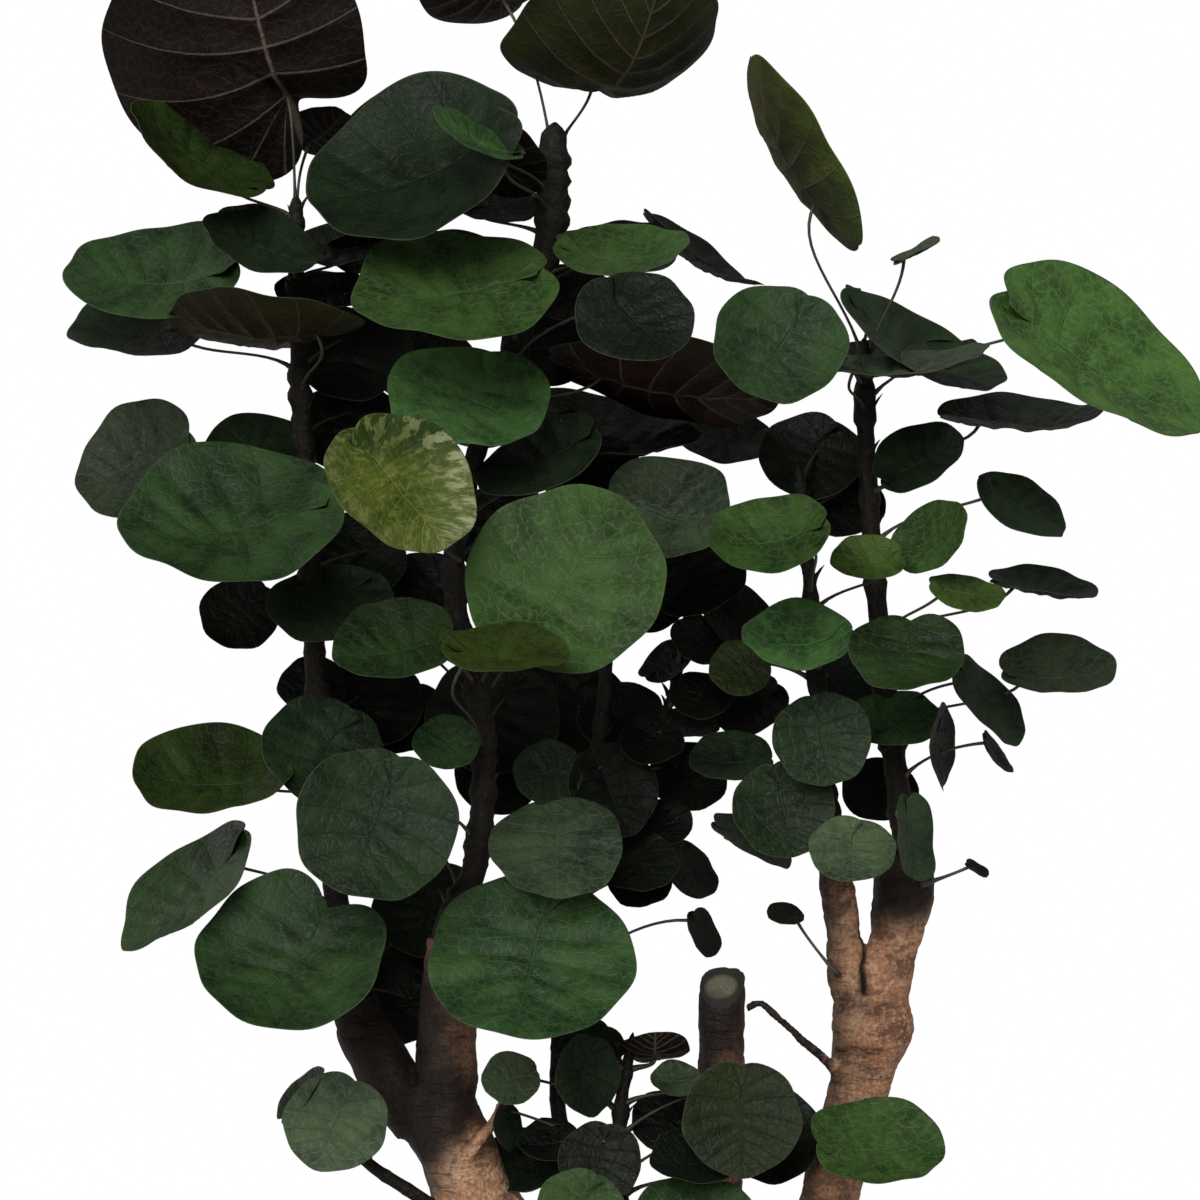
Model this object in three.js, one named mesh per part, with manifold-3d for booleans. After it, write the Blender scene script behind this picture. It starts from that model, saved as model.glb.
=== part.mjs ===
// Fabian aralia grown as a bonsai, with its pot: round cupped leaves on thin stalks over stout
// forked trunks. Millimetres, +Z up, +X to the viewer's right, +Y away from the viewer.
// The origin is the middle of the pot's flat base.
import * as THREE from "three";
import { mergeVertices } from "three/addons/utils/BufferGeometryUtils.js";
import Module from "manifold-3d";

const wasm = await Module();
wasm.setup();

// Driving dimensions
const CLEARANCE = 0.3; // between pieces that touch
const POT = {
  height: 132,
  rimRadius: 168,
  baseRadius: 124,
  wall: 9,
  floor: 12,
  bellyShare: 0.55, // height of the belly, as a share of the pot's
  belly: 154, // outer radius there
  footEdge: 4, // bevel round the foot
  innerFoot: 6, // how much the inside widens above the floor
  lipHeight: 16,
  lipReach: 6,
  lipEdge: 3, // bevel of the lip
  mouthEdge: 4, // bevel inside the mouth
  drainRadius: 7,
  drainReach: 72,
  drains: 3,
  drainSides: 12,
  sides: 32,
};
const SOIL = { top: 116, flatRadius: 104, edgeDrop: 7, shoulderDrop: 2.1, holeRadius: 40, holeDepth: 52 };
const ROOT = {
  x: 9,
  lowRadius: 62,
  topRadius: 26,
  top: 168,
  ridges: 5,
  ridge: 0.16,
  turn: 1, // radians
  sides: 20,
  rings: 4,
  plugRise: 6, // how far the plug in the soil's hole reaches up into the base
};
const BLADE = {
  thickness: 0.8,
  notch: 0.42, // share of the radius that the notch at the base cuts in
  notchWidth: 0.3, // radians
  cup: 0.14,
  wave: 0.07,
  spare: 1.03, // the faceted edge stands this much out, so that the true round edge lies within it
  ringShare: 0.5,
  stalkShare: 0.83,
  ringWidth: 96, // blades this wide have an inner ring of points
  smallWidth: 60, // blades below this width have fewer edge points
};
const STALK = {
  footRadius: 1.25,
  tipRadius: 0.95,
  angles: [-2.6, -0.5, 1.6], // radians round a stalk, from across the leaf towards its tip
  steps: 3,
  drop: 0.45, // how far below the blade it leaves the stem, for each mm that it reaches out
  climb: 0.24, // shares of its length that shape the bend
  below: 0.28,
  behind: 0.16,
  setOff: 0.2,
  swing: 0.2, // how far its rise already heads for the blade
  nearness: 0.6, // weight of the distance, against the level, in the choice of its foot
  feet: 48, // places along a stem where it may grow
};
const STEM = { sides: 6, stepsPerSpan: 2 };
const STUB = { length: 22, share: 1.12 }; // the short spur of the trunk that a side stem stands on
const WOOD = {
  sides: 8,
  slimSides: 5,
  slimRadius: 5,
  stepsPerSpan: 2,
  spare: 1.04, // the corners stand this much out, so that the flat sides keep the true girth
  knob: 0.07, // swelling of the knobs, as a share of the radius
  knobsRound: 3,
  knobTwist: 11, // radians from end to end
  knobBeat: 17,
};
// Leaves behind the stems answer the wide ones in front, across an upright plane.
const TWIN = { plane: 20, leastWidth: 61, share: 0.85, scatter: 7, turn: 28 };
const SEED = 20417;

// The picture that the plant is read from: 1200 pixels wide, seen level from in front.
const VIEW = { middle: 600, mmPerPixel: 0.5, distance: 2400, x: -30, z: 570 };

const MATERIALS = {
  glaze: new THREE.MeshStandardMaterial({ color: 0x57504a, roughness: 0.45, metalness: 0 }),
  earth: new THREE.MeshStandardMaterial({ color: 0x2c211a, roughness: 0.95, metalness: 0 }),
  bark: new THREE.MeshStandardMaterial({ color: 0x8a6246, roughness: 0.85, metalness: 0 }),
  leaf: new THREE.MeshStandardMaterial({ color: 0x1d3a22, roughness: 0.4, metalness: 0 }),
  yellowLeaf: new THREE.MeshStandardMaterial({ color: 0x7d8b35, roughness: 0.45, metalness: 0 }),
};

// Each limb of the trunk: points as [x pixel, y pixel, depth mm, radius mm], from its foot up.
const LIMBS = {
  left: [
    [628, 1456, 2, 31],
    [598, 1400, 4, 27],
    [540, 1310, 5, 23],
    [476, 1200, 6, 20],
    [456, 1150, 7, 20],
    [436, 1108, 7, 20],
    [422, 1080, 7, 15],
  ],
  brownArm: [
    [444, 1125, 6, 14],
    [448, 1080, 1, 15.5],
    [447, 1030, -3, 14.8],
    [450, 972, -6, 13.5],
    [450, 938, -6, 12],
  ],
  darkArm: [
    [422, 1124, 9, 15],
    [393, 1080, 13, 15.5],
    [363, 1028, 15, 13.5],
    [354, 996, 15, 11],
  ],
  right: [
    [738, 1456, 2, 30],
    [766, 1400, 4, 26],
    [803, 1300, 5, 19],
    [830, 1200, 6, 14.6],
    [845, 1140, 6, 14.6],
    [858, 1090, 6, 15],
    [865, 1060, 6, 16.5],
    [871, 1028, 6, 21],
    [869, 1000, 6, 19.5],
    [866, 978, 6, 13],
  ],
  leftFork: [
    [858, 1002, 4, 11.5],
    [847, 972, 3, 12],
    [844, 945, 2, 11],
    [839, 900, 0, 9.8],
    [836, 882, 0, 9.4],
    [836, 862, 0, 8.6],
  ],
  rightFork: [
    [880, 1004, 8, 14],
    [888, 970, 9, 13.5],
    [891, 945, 9, 12.5],
    [899, 915, 9, 14.4],
    [906, 882, 8, 15],
    [906, 856, 8, 11],
  ],
  stump: [
    [702, 1450, 10, 22],
    [708, 1350, 14, 16],
    [716, 1200, 17, 13],
    [721, 1080, 17, 12],
    [722, 1010, 16, 11.5],
    [722, 968, 16, 11.4],
  ],
  thinTwig: [
    [846, 1084, 2, 3.2],
    [826, 1061, -4, 2.8],
    [800, 1038, -6, 2.4],
    [775, 1015, -8, 2.1],
    [760, 1003, -8, 2.1],
    [746, 1009, -8, 2.6],
  ],
  strandRoot: [
    [512, 1290, -16, 4],
    [478, 1215, -14, 4.2],
    [458, 1172, -12, 3.6],
    [478, 1142, -13, 3.4],
    [500, 1112, -2, 3],
    [512, 1076, 10, 2.4],
  ],
};

// Leaf records, read from the picture: x and y of the middle (pixels), depth behind the trunk
// (mm), width (mm), how squarely the upper face shows (1 full, 0 edge on, below 0 the underside),
// the way that face leans in the picture and the way the tip points (degrees, anticlockwise
// from right).
const SHOOTS = {
  left_shoot: {
    stems: [
      [
        [354, 996, 15, 8],
        [348, 975, 15, 7.5],
        [336, 900, 16, 6.5],
        [322, 760, 16, 6],
        [312, 600, 14, 5.5],
        [303, 440, 12, 5],
        [297, 300, 8, 4.4],
        [296, 212, 6, 3.4],
      ],
    ],
    leaves: [
      [236, 46, 8, 134, -0.92, 60, 138],
      [322, 130, 42, 38, -0.6, 90, 60],
      [263, 240, -24, 64, 0.48, 70, 150],
      [362, 252, 34, 38, -0.5, 90, 20],
      [149, 270, -14, 94, 0.56, 95, 170],
      [138, 326, 10, 72, 0.46, 90, 200],
      [260, 318, -42, 92, -0.22, 88, 185],
      [136, 459, 2, 69, 0.82, 130, 200],
      [232, 511, -48, 113, 0.62, 92, 205],
      [262, 446, 4, 58, 0.55, 80, 60],
      [240, 612, 16, 42, 0.9, 90, 230],
      [332, 602, -8, 66, 0.6, 90, 250],
      [312, 685, 30, 36, 0.8, 90, 200],
      [325, 752, -6, 66, 0.8, 60, 240],
      [215, 768, -14, 84, 0.5, 90, 183],
      [185, 885, -8, 90, 0.38, 132, 218],
      [291, 950, -52, 96, 0.76, 95, 247],
      [350, 350, 44, 64, 0.8, 80, 260],
      [345, 425, 40, 56, 0.85, 90, 250],
      [370, 702, 44, 56, 0.8, 90, 270],
      [352, 556, 46, 58, 0.8, 90, 230],
      [400, 958, 50, 58, 0.85, 90, 260],
      [402, 716, 60, 46, 0.85, 90, 250],
    ],
  },
  middle_shoot: {
    carries: "yellow_leaf",
    stems: [
      [
        [450, 938, -6, 8],
        [450, 920, -6, 7.5],
        [476, 864, -6, 6.5],
        [483, 770, -6, 6],
        [476, 680, -6, 6],
        [455, 600, -6, 5.6],
        [462, 500, -4, 5.2],
        [508, 370, 0, 5],
        [547, 250, 4, 8],
        [554, 140, 6, 7.2],
      ],
    ],
    leaves: [
      [477, -16, 8, 62, -0.6, 100, 135],
      [612, 32, -2, 112, -0.45, 98, 85],
      [415, 156, -44, 117, 0.68, 114, 200],
      [506, 160, -2, 46, -0.7, 60, 300],
      [456, 284, -66, 104, 0.58, 92, 201],
      [468, 395, -36, 82, 0.68, 85, 250],
      [620, 246, -14, 70, 0.44, 92, 340],
      [701, 248, 46, 74, 0.14, 57, 327],
      [634, 316, -64, 60, 0.8, 80, 300],
      [662, 376, 12, 124, -0.28, 80, 348],
      [538, 456, -22, 70, 0.5, 116, 206],
      [564, 578, -78, 100, 0.92, 100, 60],
      [395, 640, -54, 64, 0.62, 95, 200],
      [516, 647, -120, 74, 0.36, 85, 350],
      [379, 823, -58, 84, 0.94, 80, 250],
      [446, 742, -26, 34, 0.8, 90, 230],
      [424, 362, 66, 56, 0.8, 90, 270],
      [492, 716, 36, 70, 0.85, 90, 250],
      [506, 530, 52, 62, 0.8, 90, 240],
      [606, 424, 44, 100, 0.35, 84, 0],
      [552, 344, 44, 54, 0.8, 90, 280],
      [596, 480, 30, 54, 0.85, 90, 300],
      [424, 590, 62, 48, 0.85, 90, 230],
      [428, 906, 44, 58, 0.85, 90, 260],
      [498, 776, 68, 46, 0.85, 90, 260],
    ],
  },
  centre_shoot: {
    onSpur: true,
    stems: [
      [
        [638, 1348, 8, 5],
        [627, 1306, 8, 4.8],
        [588, 1222, 9, 4.5],
        [560, 1120, 10, 4.2],
        [558, 1045, 14, 4],
        [564, 950, 18, 4],
        [584, 830, 24, 3.8],
        [604, 700, 26, 3.6],
        [604, 600, 20, 3.4],
        [600, 530, 14, 3],
      ],
      [
        [584, 830, 24, 3],
        [630, 780, 34, 2.6],
        [662, 720, 40, 2.4],
        [680, 668, 42, 2],
      ],
    ],
    leaves: [
      [664, 506, -24, 68, 0.78, 100, 330],
      [556, 846, -20, 68, 0.72, 90, 270],
      [548, 772, 8, 36, 0.9, 90, 200],
      [612, 790, 12, 50, 0.9, 30, 290],
      [531, 957, -46, 104, 0.76, 90, 262],
      [690, 868, 36, 36, 0.6, 40, 280],
      [664, 822, 40, 30, 0.8, 90, 300],
      [652, 740, 20, 34, 0.7, 90, 250],
      [690, 722, 44, 32, 0.5, 90, 340],
      [640, 880, 30, 34, 0.8, 90, 260],
      [704, 932, 34, 27, 0.55, 25, 295],
      [668, 660, 44, 34, 0.5, 120, 60],
      [566, 704, 74, 66, 0.85, 90, 240],
      [622, 716, 40, 46, 0.8, 90, 300],
      [690, 566, 36, 60, 0.85, 90, 300],
      [646, 590, 42, 50, 0.85, 90, 280],
      [688, 776, 56, 42, 0.85, 90, 300],
    ],
  },
  right_shoot: {
    stems: [
      [
        [906, 856, 8, 7.5],
        [906, 838, 8, 7],
        [894, 760, 12, 6],
        [880, 640, 14, 5.4],
        [868, 480, 14, 4.8],
        [864, 356, 10, 4],
      ],
    ],
    leaves: [
      [797, 151, -6, 117, -0.2, 30, 120],
      [915, 250, 0, 28, 0.2, 118, 28],
      [780, 341, -66, 67, 0.9, 85, 240],
      [920, 338, 10, 98, 0.34, 60, 322],
      [898, 358, -36, 92, 0.16, 94, 355],
      [1102, 350, -20, 130, 0.52, 56, 328],
      [1022, 408, 24, 90, 0.36, 92, 0],
      [918, 456, -6, 50, 0.62, 120, 30],
      [930, 535, -28, 44, 0.85, 120, 20],
      [1021, 504, -10, 54, 0.5, 59, 329],
      [1043, 582, 6, 58, 0.24, 83, 352],
      [966, 591, -36, 40, 0.45, 80, 350],
      [907, 650, -60, 58, 0.68, 92, 265],
      [895, 718, -8, 46, 0.62, 90, 300],
      [1057, 666, 0, 61, 0.48, 92, 0],
      [989, 700, -12, 54, 0.45, 37, 307],
      [943, 745, -8, 46, 0.3, 0, 270],
      [916, 836, -34, 46, 0.48, 10, 270],
      [880, 790, 34, 40, 0.8, 90, 250],
    ],
  },
  right_low_shoot: {
    stems: [
      [
        [836, 862, 0, 5.5],
        [836, 846, 0, 5],
        [826, 780, 0, 4.4],
        [818, 700, 2, 4],
        [812, 620, 6, 3.6],
        [806, 540, 8, 3.2],
        [800, 480, 10, 2.6],
      ],
    ],
    leaves: [
      [812, 455, 30, 56, 0.8, 90, 250],
      [770, 531, -62, 62, 0.62, 100, 190],
      [868, 558, -44, 38, 0.6, 90, 200],
      [799, 634, -38, 58, 0.56, 92, 190],
      [740, 668, 4, 32, 0.9, 90, 220],
      [822, 738, -34, 50, 0.95, 100, 280],
      [732, 757, -6, 44, 0.55, 90, 180],
      [784, 808, -30, 52, 0.95, 90, 280],
      [752, 840, 0, 48, 0.3, 60, 335],
      [853, 849, -46, 44, 0.72, 90, 268],
      [844, 502, 34, 44, 0.8, 90, 260],
      [742, 618, 40, 44, 0.7, 60, 210],
      [752, 706, 38, 40, 0.7, 120, 230],
      [724, 434, 80, 58, 0.5, 84, 200],
      [848, 676, 46, 40, 0.8, 90, 300],
    ],
  },
  low_centre_shoot: {
    onSpur: true,
    stems: [
      [
        [658, 1352, -4, 5],
        [646, 1318, -7, 4.8],
        [630, 1264, -8, 4.5],
        [618, 1180, -6, 4],
        [622, 1100, 0, 3.4],
        [630, 1050, 4, 2.6],
      ],
    ],
    leaves: [
      [742, 1118, -34, 60, 0.95, 90, 270],
      [676, 1078, -16, 26, 0.6, 90, 180],
      [655, 1047, -2, 36, -0.5, 90, 90],
      [588, 1075, -18, 42, 0.75, 10, 250],
      [600, 1161, -34, 42, 0.95, 90, 260],
      [695, 1156, -24, 46, 0.5, 90, 200],
      [695, 1222, -44, 62, 0.7, 90, 250],
      [580, 1212, -50, 46, 0.9, 90, 250],
      [549, 1140, -12, 32, 0.6, 90, 190],
      [508, 1126, -8, 26, 0.5, 10, 250],
      [668, 1120, 2, 38, 0.8, 90, 250],
      [511, 1078, -16, 30, 0.85, 90, 200],
    ],
  },
  low_left_shoot: {
    onSpur: true,
    stems: [
      [
        [446, 1216, -14, 4],
        [412, 1192, -18, 3.6],
        [372, 1166, -18, 3.2],
        [350, 1142, -18, 2.4],
      ],
    ],
    leaves: [
      [336, 1122, -32, 53, 0.9, 90, 250],
      [300, 1094, -12, 36, 0.3, 140, 60],
    ],
  },
};

// The one variegated leaf, and those that grow straight from the wood.
// Their stubs are [x pixel, y pixel, depth where the stub starts and ends mm, radius mm].
const SINGLE_LEAVES = {
  yellow_leaf: {
    stub: [458, 560, -5, -13, 2],
    leaf: [402, 482, -94, 80, 0.86, 50, 300],
    material: "yellowLeaf",
  },
  limb_leaf: {
    stub: [837, 974, 2, -8, 1.8],
    leaf: [786, 914, -12, 20, 0.5, 80, 170],
    material: "leaf",
  },
  fork_leaf: {
    stub: [923, 884, 4, -10, 1.6],
    leaf: [977, 868, -6, 14, 0.4, 60, 335],
    material: "leaf",
  },
  trunk_leaf: {
    stub: [838, 1172, 0, -12, 2.4],
    leaf: [877, 1140, -38, 68, 0.56, 85, 17],
    material: "leaf",
  },
};

// Repeatable random numbers from 0 to 1.
function randomFrom(seed) {
  let state = seed >>> 0;
  return () => {
    state = (state + 0x6d2b79f5) >>> 0;
    let t = state;
    t = Math.imul(t ^ (t >>> 15), t | 1);
    t ^= t + Math.imul(t ^ (t >>> 7), t | 61);
    return ((t ^ (t >>> 14)) >>> 0) / 4294967296;
  };
}

const radians = (degrees) => (degrees * Math.PI) / 180;

// A picture point at a depth, in millimetres of the part's own frame.
function place(x, y, depth) {
  const scale = VIEW.mmPerPixel * (1 + depth / VIEW.distance);
  return new THREE.Vector3(
    VIEW.x + (x - VIEW.middle) * scale,
    depth,
    VIEW.z + (VIEW.middle - y) * scale,
  );
}

// Solids and meshes

function solidOf(geometry) {
  const bare = new THREE.BufferGeometry().setAttribute("position", geometry.getAttribute("position"));
  bare.setIndex(geometry.index);
  const merged = mergeVertices(bare, 1e-4);
  return new wasm.Manifold(
    new wasm.Mesh({
      numProp: 3,
      vertProperties: merged.getAttribute("position").array,
      triVerts: new Uint32Array(merged.index.array),
    }),
  );
}

function geometryOf(points, triangles) {
  const flat = new Float32Array(points.length * 3);
  points.forEach((p, i) => flat.set([p.x, p.y, p.z], i * 3));
  return new THREE.BufferGeometry()
    .setAttribute("position", new THREE.BufferAttribute(flat, 3))
    .setIndex(triangles);
}

function joined(solids) {
  return solids.reduce((sum, next) => sum.add(next));
}

function meshOf(name, solid, material) {
  const made = solid.getMesh();
  const points = [];
  for (let i = 0; i < made.numVert; i++)
    points.push(new THREE.Vector3().fromArray(made.vertProperties, i * made.numProp));
  const geometry = geometryOf(points, Array.from(made.triVerts));
  geometry.computeVertexNormals();
  const mesh = new THREE.Mesh(geometry, MATERIALS[material]);
  mesh.name = name;
  return mesh;
}

// A round piece turned about the upright axis from its profile of [radius, height] points.
function turned(profile, sides) {
  const outline = profile.map(([radius, height]) => new THREE.Vector2(radius, height));
  return solidOf(new THREE.LatheGeometry(outline, sides).rotateX(Math.PI / 2));
}

// Tubes: a limb, stem or stalk through points that carry their own radius

function smoothPath(rows) {
  const points = rows.map(([x, y, depth]) => place(x, y, depth));
  return new THREE.CatmullRomCurve3(points, false, "catmullrom", 0.5);
}

function radiusAlong(rows, t) {
  const at = t * (rows.length - 1);
  const low = Math.min(Math.floor(at), rows.length - 2);
  return THREE.MathUtils.lerp(rows[low][3], rows[low + 1][3], at - low);
}

// Rings of points round a path, the first and last closed by flat ends.
function tube(path, steps, sides, radiusAt) {
  const frames = path.computeFrenetFrames(steps, false);
  const points = [];
  const triangles = [];
  for (let i = 0; i <= steps; i++) {
    const middle = path.getPoint(i / steps);
    for (let k = 0; k < sides; k++) {
      const angle = (2 * Math.PI * k) / sides;
      const radius = radiusAt(i / steps, angle);
      points.push(
        middle
          .clone()
          .addScaledVector(frames.normals[i], radius * Math.cos(angle))
          .addScaledVector(frames.binormals[i], radius * Math.sin(angle)),
      );
    }
  }
  for (let i = 0; i < steps; i++)
    for (let k = 0; k < sides; k++) {
      const a = i * sides + k;
      const b = i * sides + ((k + 1) % sides);
      triangles.push(a, b, b + sides, a, b + sides, a + sides);
    }
  for (let k = 1; k < sides - 1; k++) {
    const last = steps * sides;
    triangles.push(0, k + 1, k);
    triangles.push(last, last + k, last + k + 1);
  }
  return solidOf(geometryOf(points, triangles));
}

// Leaves

// The three directions of a leaf: its upper face, its tip and across.
function leafAxes(show, lean, tip) {
  const aside = Math.sqrt(1 - show * show);
  const up = new THREE.Vector3(
    aside * Math.cos(radians(lean)),
    -show,
    aside * Math.sin(radians(lean)),
  );
  const along = new THREE.Vector3(Math.cos(radians(tip)), 0, Math.sin(radians(tip)));
  along.addScaledVector(up, -along.dot(up)).normalize();
  return { up, along, across: new THREE.Vector3().crossVectors(along, up) };
}

function leafOf([x, y, depth, width, show, lean, tip], random) {
  return {
    middle: place(x, y, depth),
    radius: width / 2,
    ...leafAxes(show, lean, tip),
    cup: BLADE.cup * (0.5 + random()),
    waves: 2 + Math.floor(2 * random()),
    phase: 2 * Math.PI * random(),
  };
}

// Distance from the middle to the edge; the angle is taken from the notch at the base.
function edgeReach(leaf, angle) {
  return leaf.radius * (1 - BLADE.notch * Math.exp(-((angle / BLADE.notchWidth) ** 2)));
}

// A point of the blade at an angle from the notch and a share of the way out to the edge. The
// edge lies about level with the leaf's middle point, and the blade dips below it like a saucer.
function bladePoint(leaf, angle, share, above) {
  const reach = edgeReach(leaf, angle) * share;
  const wave = BLADE.wave * share * share * Math.sin(leaf.waves * angle + leaf.phase);
  const rise = leaf.radius * (leaf.cup * (share * share - 1) + wave);
  return leaf.middle
    .clone()
    .addScaledVector(leaf.across, reach * Math.sin(angle))
    .addScaledVector(leaf.along, -reach * Math.cos(angle))
    .addScaledVector(leaf.up, rise + above);
}

const EDGE_ANGLES = {
  large: [0, 0.29, 0.68, 1.22, 1.84, 2.48, Math.PI],
  small: [0, 0.3, 0.72, 1.35, 2.2, Math.PI],
};
const INNER_ANGLES = [0, 0.85, 1.75, 2.65];

// Half the angles mirrored into a full round, from just past -180 degrees up to 180.
function fullRound(half) {
  const mirrored = half.filter((angle) => angle > 0 && angle < Math.PI).map((angle) => -angle);
  return [...mirrored.reverse(), ...half];
}

// Triangles between two rings, each a list of angles that rise round the leaf.
function bandTriangles(outer, inner, outerStart, innerStart) {
  const triangles = [];
  let i = 0;
  let k = 0;
  const turn = (list, n) => list[n % list.length] + 2 * Math.PI * Math.floor(n / list.length);
  while (i < outer.length || k < inner.length) {
    const a = outerStart + (i % outer.length);
    const b = innerStart + (k % inner.length);
    const stepOuter =
      k >= inner.length || (i < outer.length && turn(outer, i + 1) <= turn(inner, k + 1) + 1e-9);
    if (stepOuter) {
      triangles.push([a, outerStart + ((i + 1) % outer.length), b]);
      i++;
    } else {
      triangles.push([a, innerStart + ((k + 1) % inner.length), b]);
      k++;
    }
  }
  return triangles;
}

const hasInnerRing = (leaf) => leaf.radius * 2 >= BLADE.ringWidth;

// Where the stalk meets the blade: just inside the notch, on the faceted lower face.
function stalkTop(leaf) {
  const innerShare = hasInnerRing(leaf) ? BLADE.ringShare : 0;
  const inner = bladePoint(leaf, 0, innerShare, 0);
  const outer = bladePoint(leaf, 0, BLADE.spare, 0);
  const share = (BLADE.stalkShare - innerShare) / (BLADE.spare - innerShare);
  return inner.lerp(outer, share).addScaledVector(leaf.up, -BLADE.thickness / 2);
}

// The stalk bends up from its foot and meets the blade from below, near the notch.
function stalkPath(leaf, foot, setOff) {
  const top = stalkTop(leaf);
  const length = foot.distanceTo(top);
  const rising = foot.clone();
  if (setOff) rising.addScaledVector(setOff, STALK.setOff * length);
  else rising.addScaledVector(new THREE.Vector3(0, 0, 1), STALK.climb * length).lerp(top, STALK.swing);
  const arriving = top
    .clone()
    .addScaledVector(leaf.up, -STALK.below * length)
    .addScaledVector(leaf.along, -STALK.behind * length);
  return new THREE.CubicBezierCurve3(foot, rising, arriving, top);
}

const stalkSteps = (leaf) => (leaf.radius * 2 >= BLADE.smallWidth ? STALK.steps : STALK.steps - 1);

// Rings of the stalk from its foot up; the last one lies in the blade's lower face.
function stalkRings(leaf, path) {
  const rings = [];
  const steps = stalkSteps(leaf);
  let side = leaf.across.clone();
  for (let i = steps; i >= 0; i--) {
    const t = i / steps;
    const ahead = path.getTangent(t);
    side.addScaledVector(ahead, -side.dot(ahead)).normalize();
    const other = i === steps ? leaf.along : new THREE.Vector3().crossVectors(ahead, side);
    const radius = THREE.MathUtils.lerp(STALK.footRadius, STALK.tipRadius, t);
    const middle = path.getPoint(t);
    rings.unshift(
      STALK.angles.map((angle) =>
        middle
          .clone()
          .addScaledVector(i === steps ? leaf.across : side, radius * Math.cos(angle))
          .addScaledVector(other, radius * Math.sin(angle)),
      ),
    );
  }
  return rings;
}

// A thin closed blade, its two faces split alike so that they never cross, with its stalk drawn
// out of the lower face: the two triangles round the stalk's top give way to its ring.
function leafSolid(leaf, foot, setOff = null) {
  const ringed = hasInnerRing(leaf);
  const outer = fullRound(leaf.radius * 2 >= BLADE.smallWidth ? EDGE_ANGLES.large : EDGE_ANGLES.small);
  const inner = ringed ? fullRound(INNER_ANGLES) : [];
  const face = (above) => [
    ...outer.map((angle) => bladePoint(leaf, angle, BLADE.spare, above)),
    ...inner.map((angle) => bladePoint(leaf, angle, BLADE.ringShare, above)),
    bladePoint(leaf, 0, 0, above),
  ];
  const top = face(BLADE.thickness / 2);
  const bottom = face(-BLADE.thickness / 2);
  const hub = outer.length + inner.length;
  const upper = ringed ? bandTriangles(outer, inner, 0, outer.length) : [];
  const ring = ringed ? inner : outer;
  const ringStart = ringed ? outer.length : 0;
  ring.forEach((_, i) => upper.push([ringStart + i, ringStart + ((i + 1) % ring.length), hub]));

  const notch = outer.indexOf(0);
  const within = ringed ? outer.length + inner.indexOf(0) : hub;
  const isOpened = (triangle) => triangle.includes(notch) && triangle.includes(within);
  const rings = stalkRings(leaf, stalkPath(leaf, foot, setOff));
  const stalkStart = top.length * 2;
  const sides = STALK.angles.length;

  const triangles = [];
  for (const [a, b, c] of upper) {
    triangles.push(a, b, c);
    if (!isOpened([a, b, c])) triangles.push(a + top.length, c + top.length, b + top.length);
  }
  outer.forEach((_, i) => {
    const next = (i + 1) % outer.length;
    triangles.push(i, i + top.length, next + top.length, i, next + top.length, next);
  });

  const middle = stalkTop(leaf);
  const bearing = (index) => {
    const arm = bottom[index].clone().sub(middle);
    return Math.atan2(arm.dot(leaf.along), arm.dot(leaf.across));
  };
  const corners = [...new Set(upper.filter(isOpened).flat())].sort((a, b) => bearing(a) - bearing(b));
  const steps = stalkSteps(leaf);
  const lastRing = stalkStart + steps * sides;
  for (const [a, b, c] of bandTriangles(corners.map(bearing), STALK.angles, 0, corners.length)) {
    const real = (n) => (n < corners.length ? corners[n] + top.length : lastRing + n - corners.length);
    triangles.push(real(a), real(c), real(b));
  }
  for (let i = 0; i < steps; i++)
    for (let k = 0; k < sides; k++) {
      const a = stalkStart + i * sides + k;
      const b = stalkStart + i * sides + ((k + 1) % sides);
      triangles.push(a, b, b + sides, a, b + sides, a + sides);
    }
  for (let k = 1; k < sides - 1; k++) triangles.push(stalkStart, stalkStart + k + 1, stalkStart + k);
  return solidOf(geometryOf([...top, ...bottom, ...rings.flat()], triangles));
}

// The point of the stems that a leaf's stalk grows from: near the leaf and a little below it.
function footOn(paths, leaf) {
  const top = stalkTop(leaf);
  let best = null;
  for (const path of paths)
    for (let i = 1; i <= STALK.feet; i++) {
      const point = path.getPoint(i / (STALK.feet + 1));
      const level = Math.hypot(point.x - top.x, point.y - top.y);
      const miss = Math.abs(top.z - point.z - STALK.drop * level);
      const cost = miss + STALK.nearness * point.distanceTo(top);
      if (!best || cost < best.cost) best = { point, cost };
    }
  return best.point;
}

// Only a wide leaf that stays in front of the plane all over is answered behind it.
function hasTwin([, , depth, width, show]) {
  return width >= TWIN.leastWidth && depth + (width / 2) * Math.sqrt(1 - show * show) < TWIN.plane;
}

// The leaf behind the stems that answers a leaf in front of them, turned away from the viewer.
function twinOf([x, y, depth, width, show, lean, tip], random) {
  const scatter = (size) => size * (2 * random() - 1);
  return [
    x + scatter(TWIN.scatter),
    y + scatter(TWIN.scatter),
    2 * TWIN.plane - depth,
    width * TWIN.share,
    -Math.abs(show),
    lean,
    tip + scatter(TWIN.turn),
  ];
}

// The way a stem sets off from its foot.
function footDirection(rows) {
  const [foot, next] = rows.map(([x, y, depth]) => place(x, y, depth));
  return next.sub(foot).normalize();
}

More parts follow.
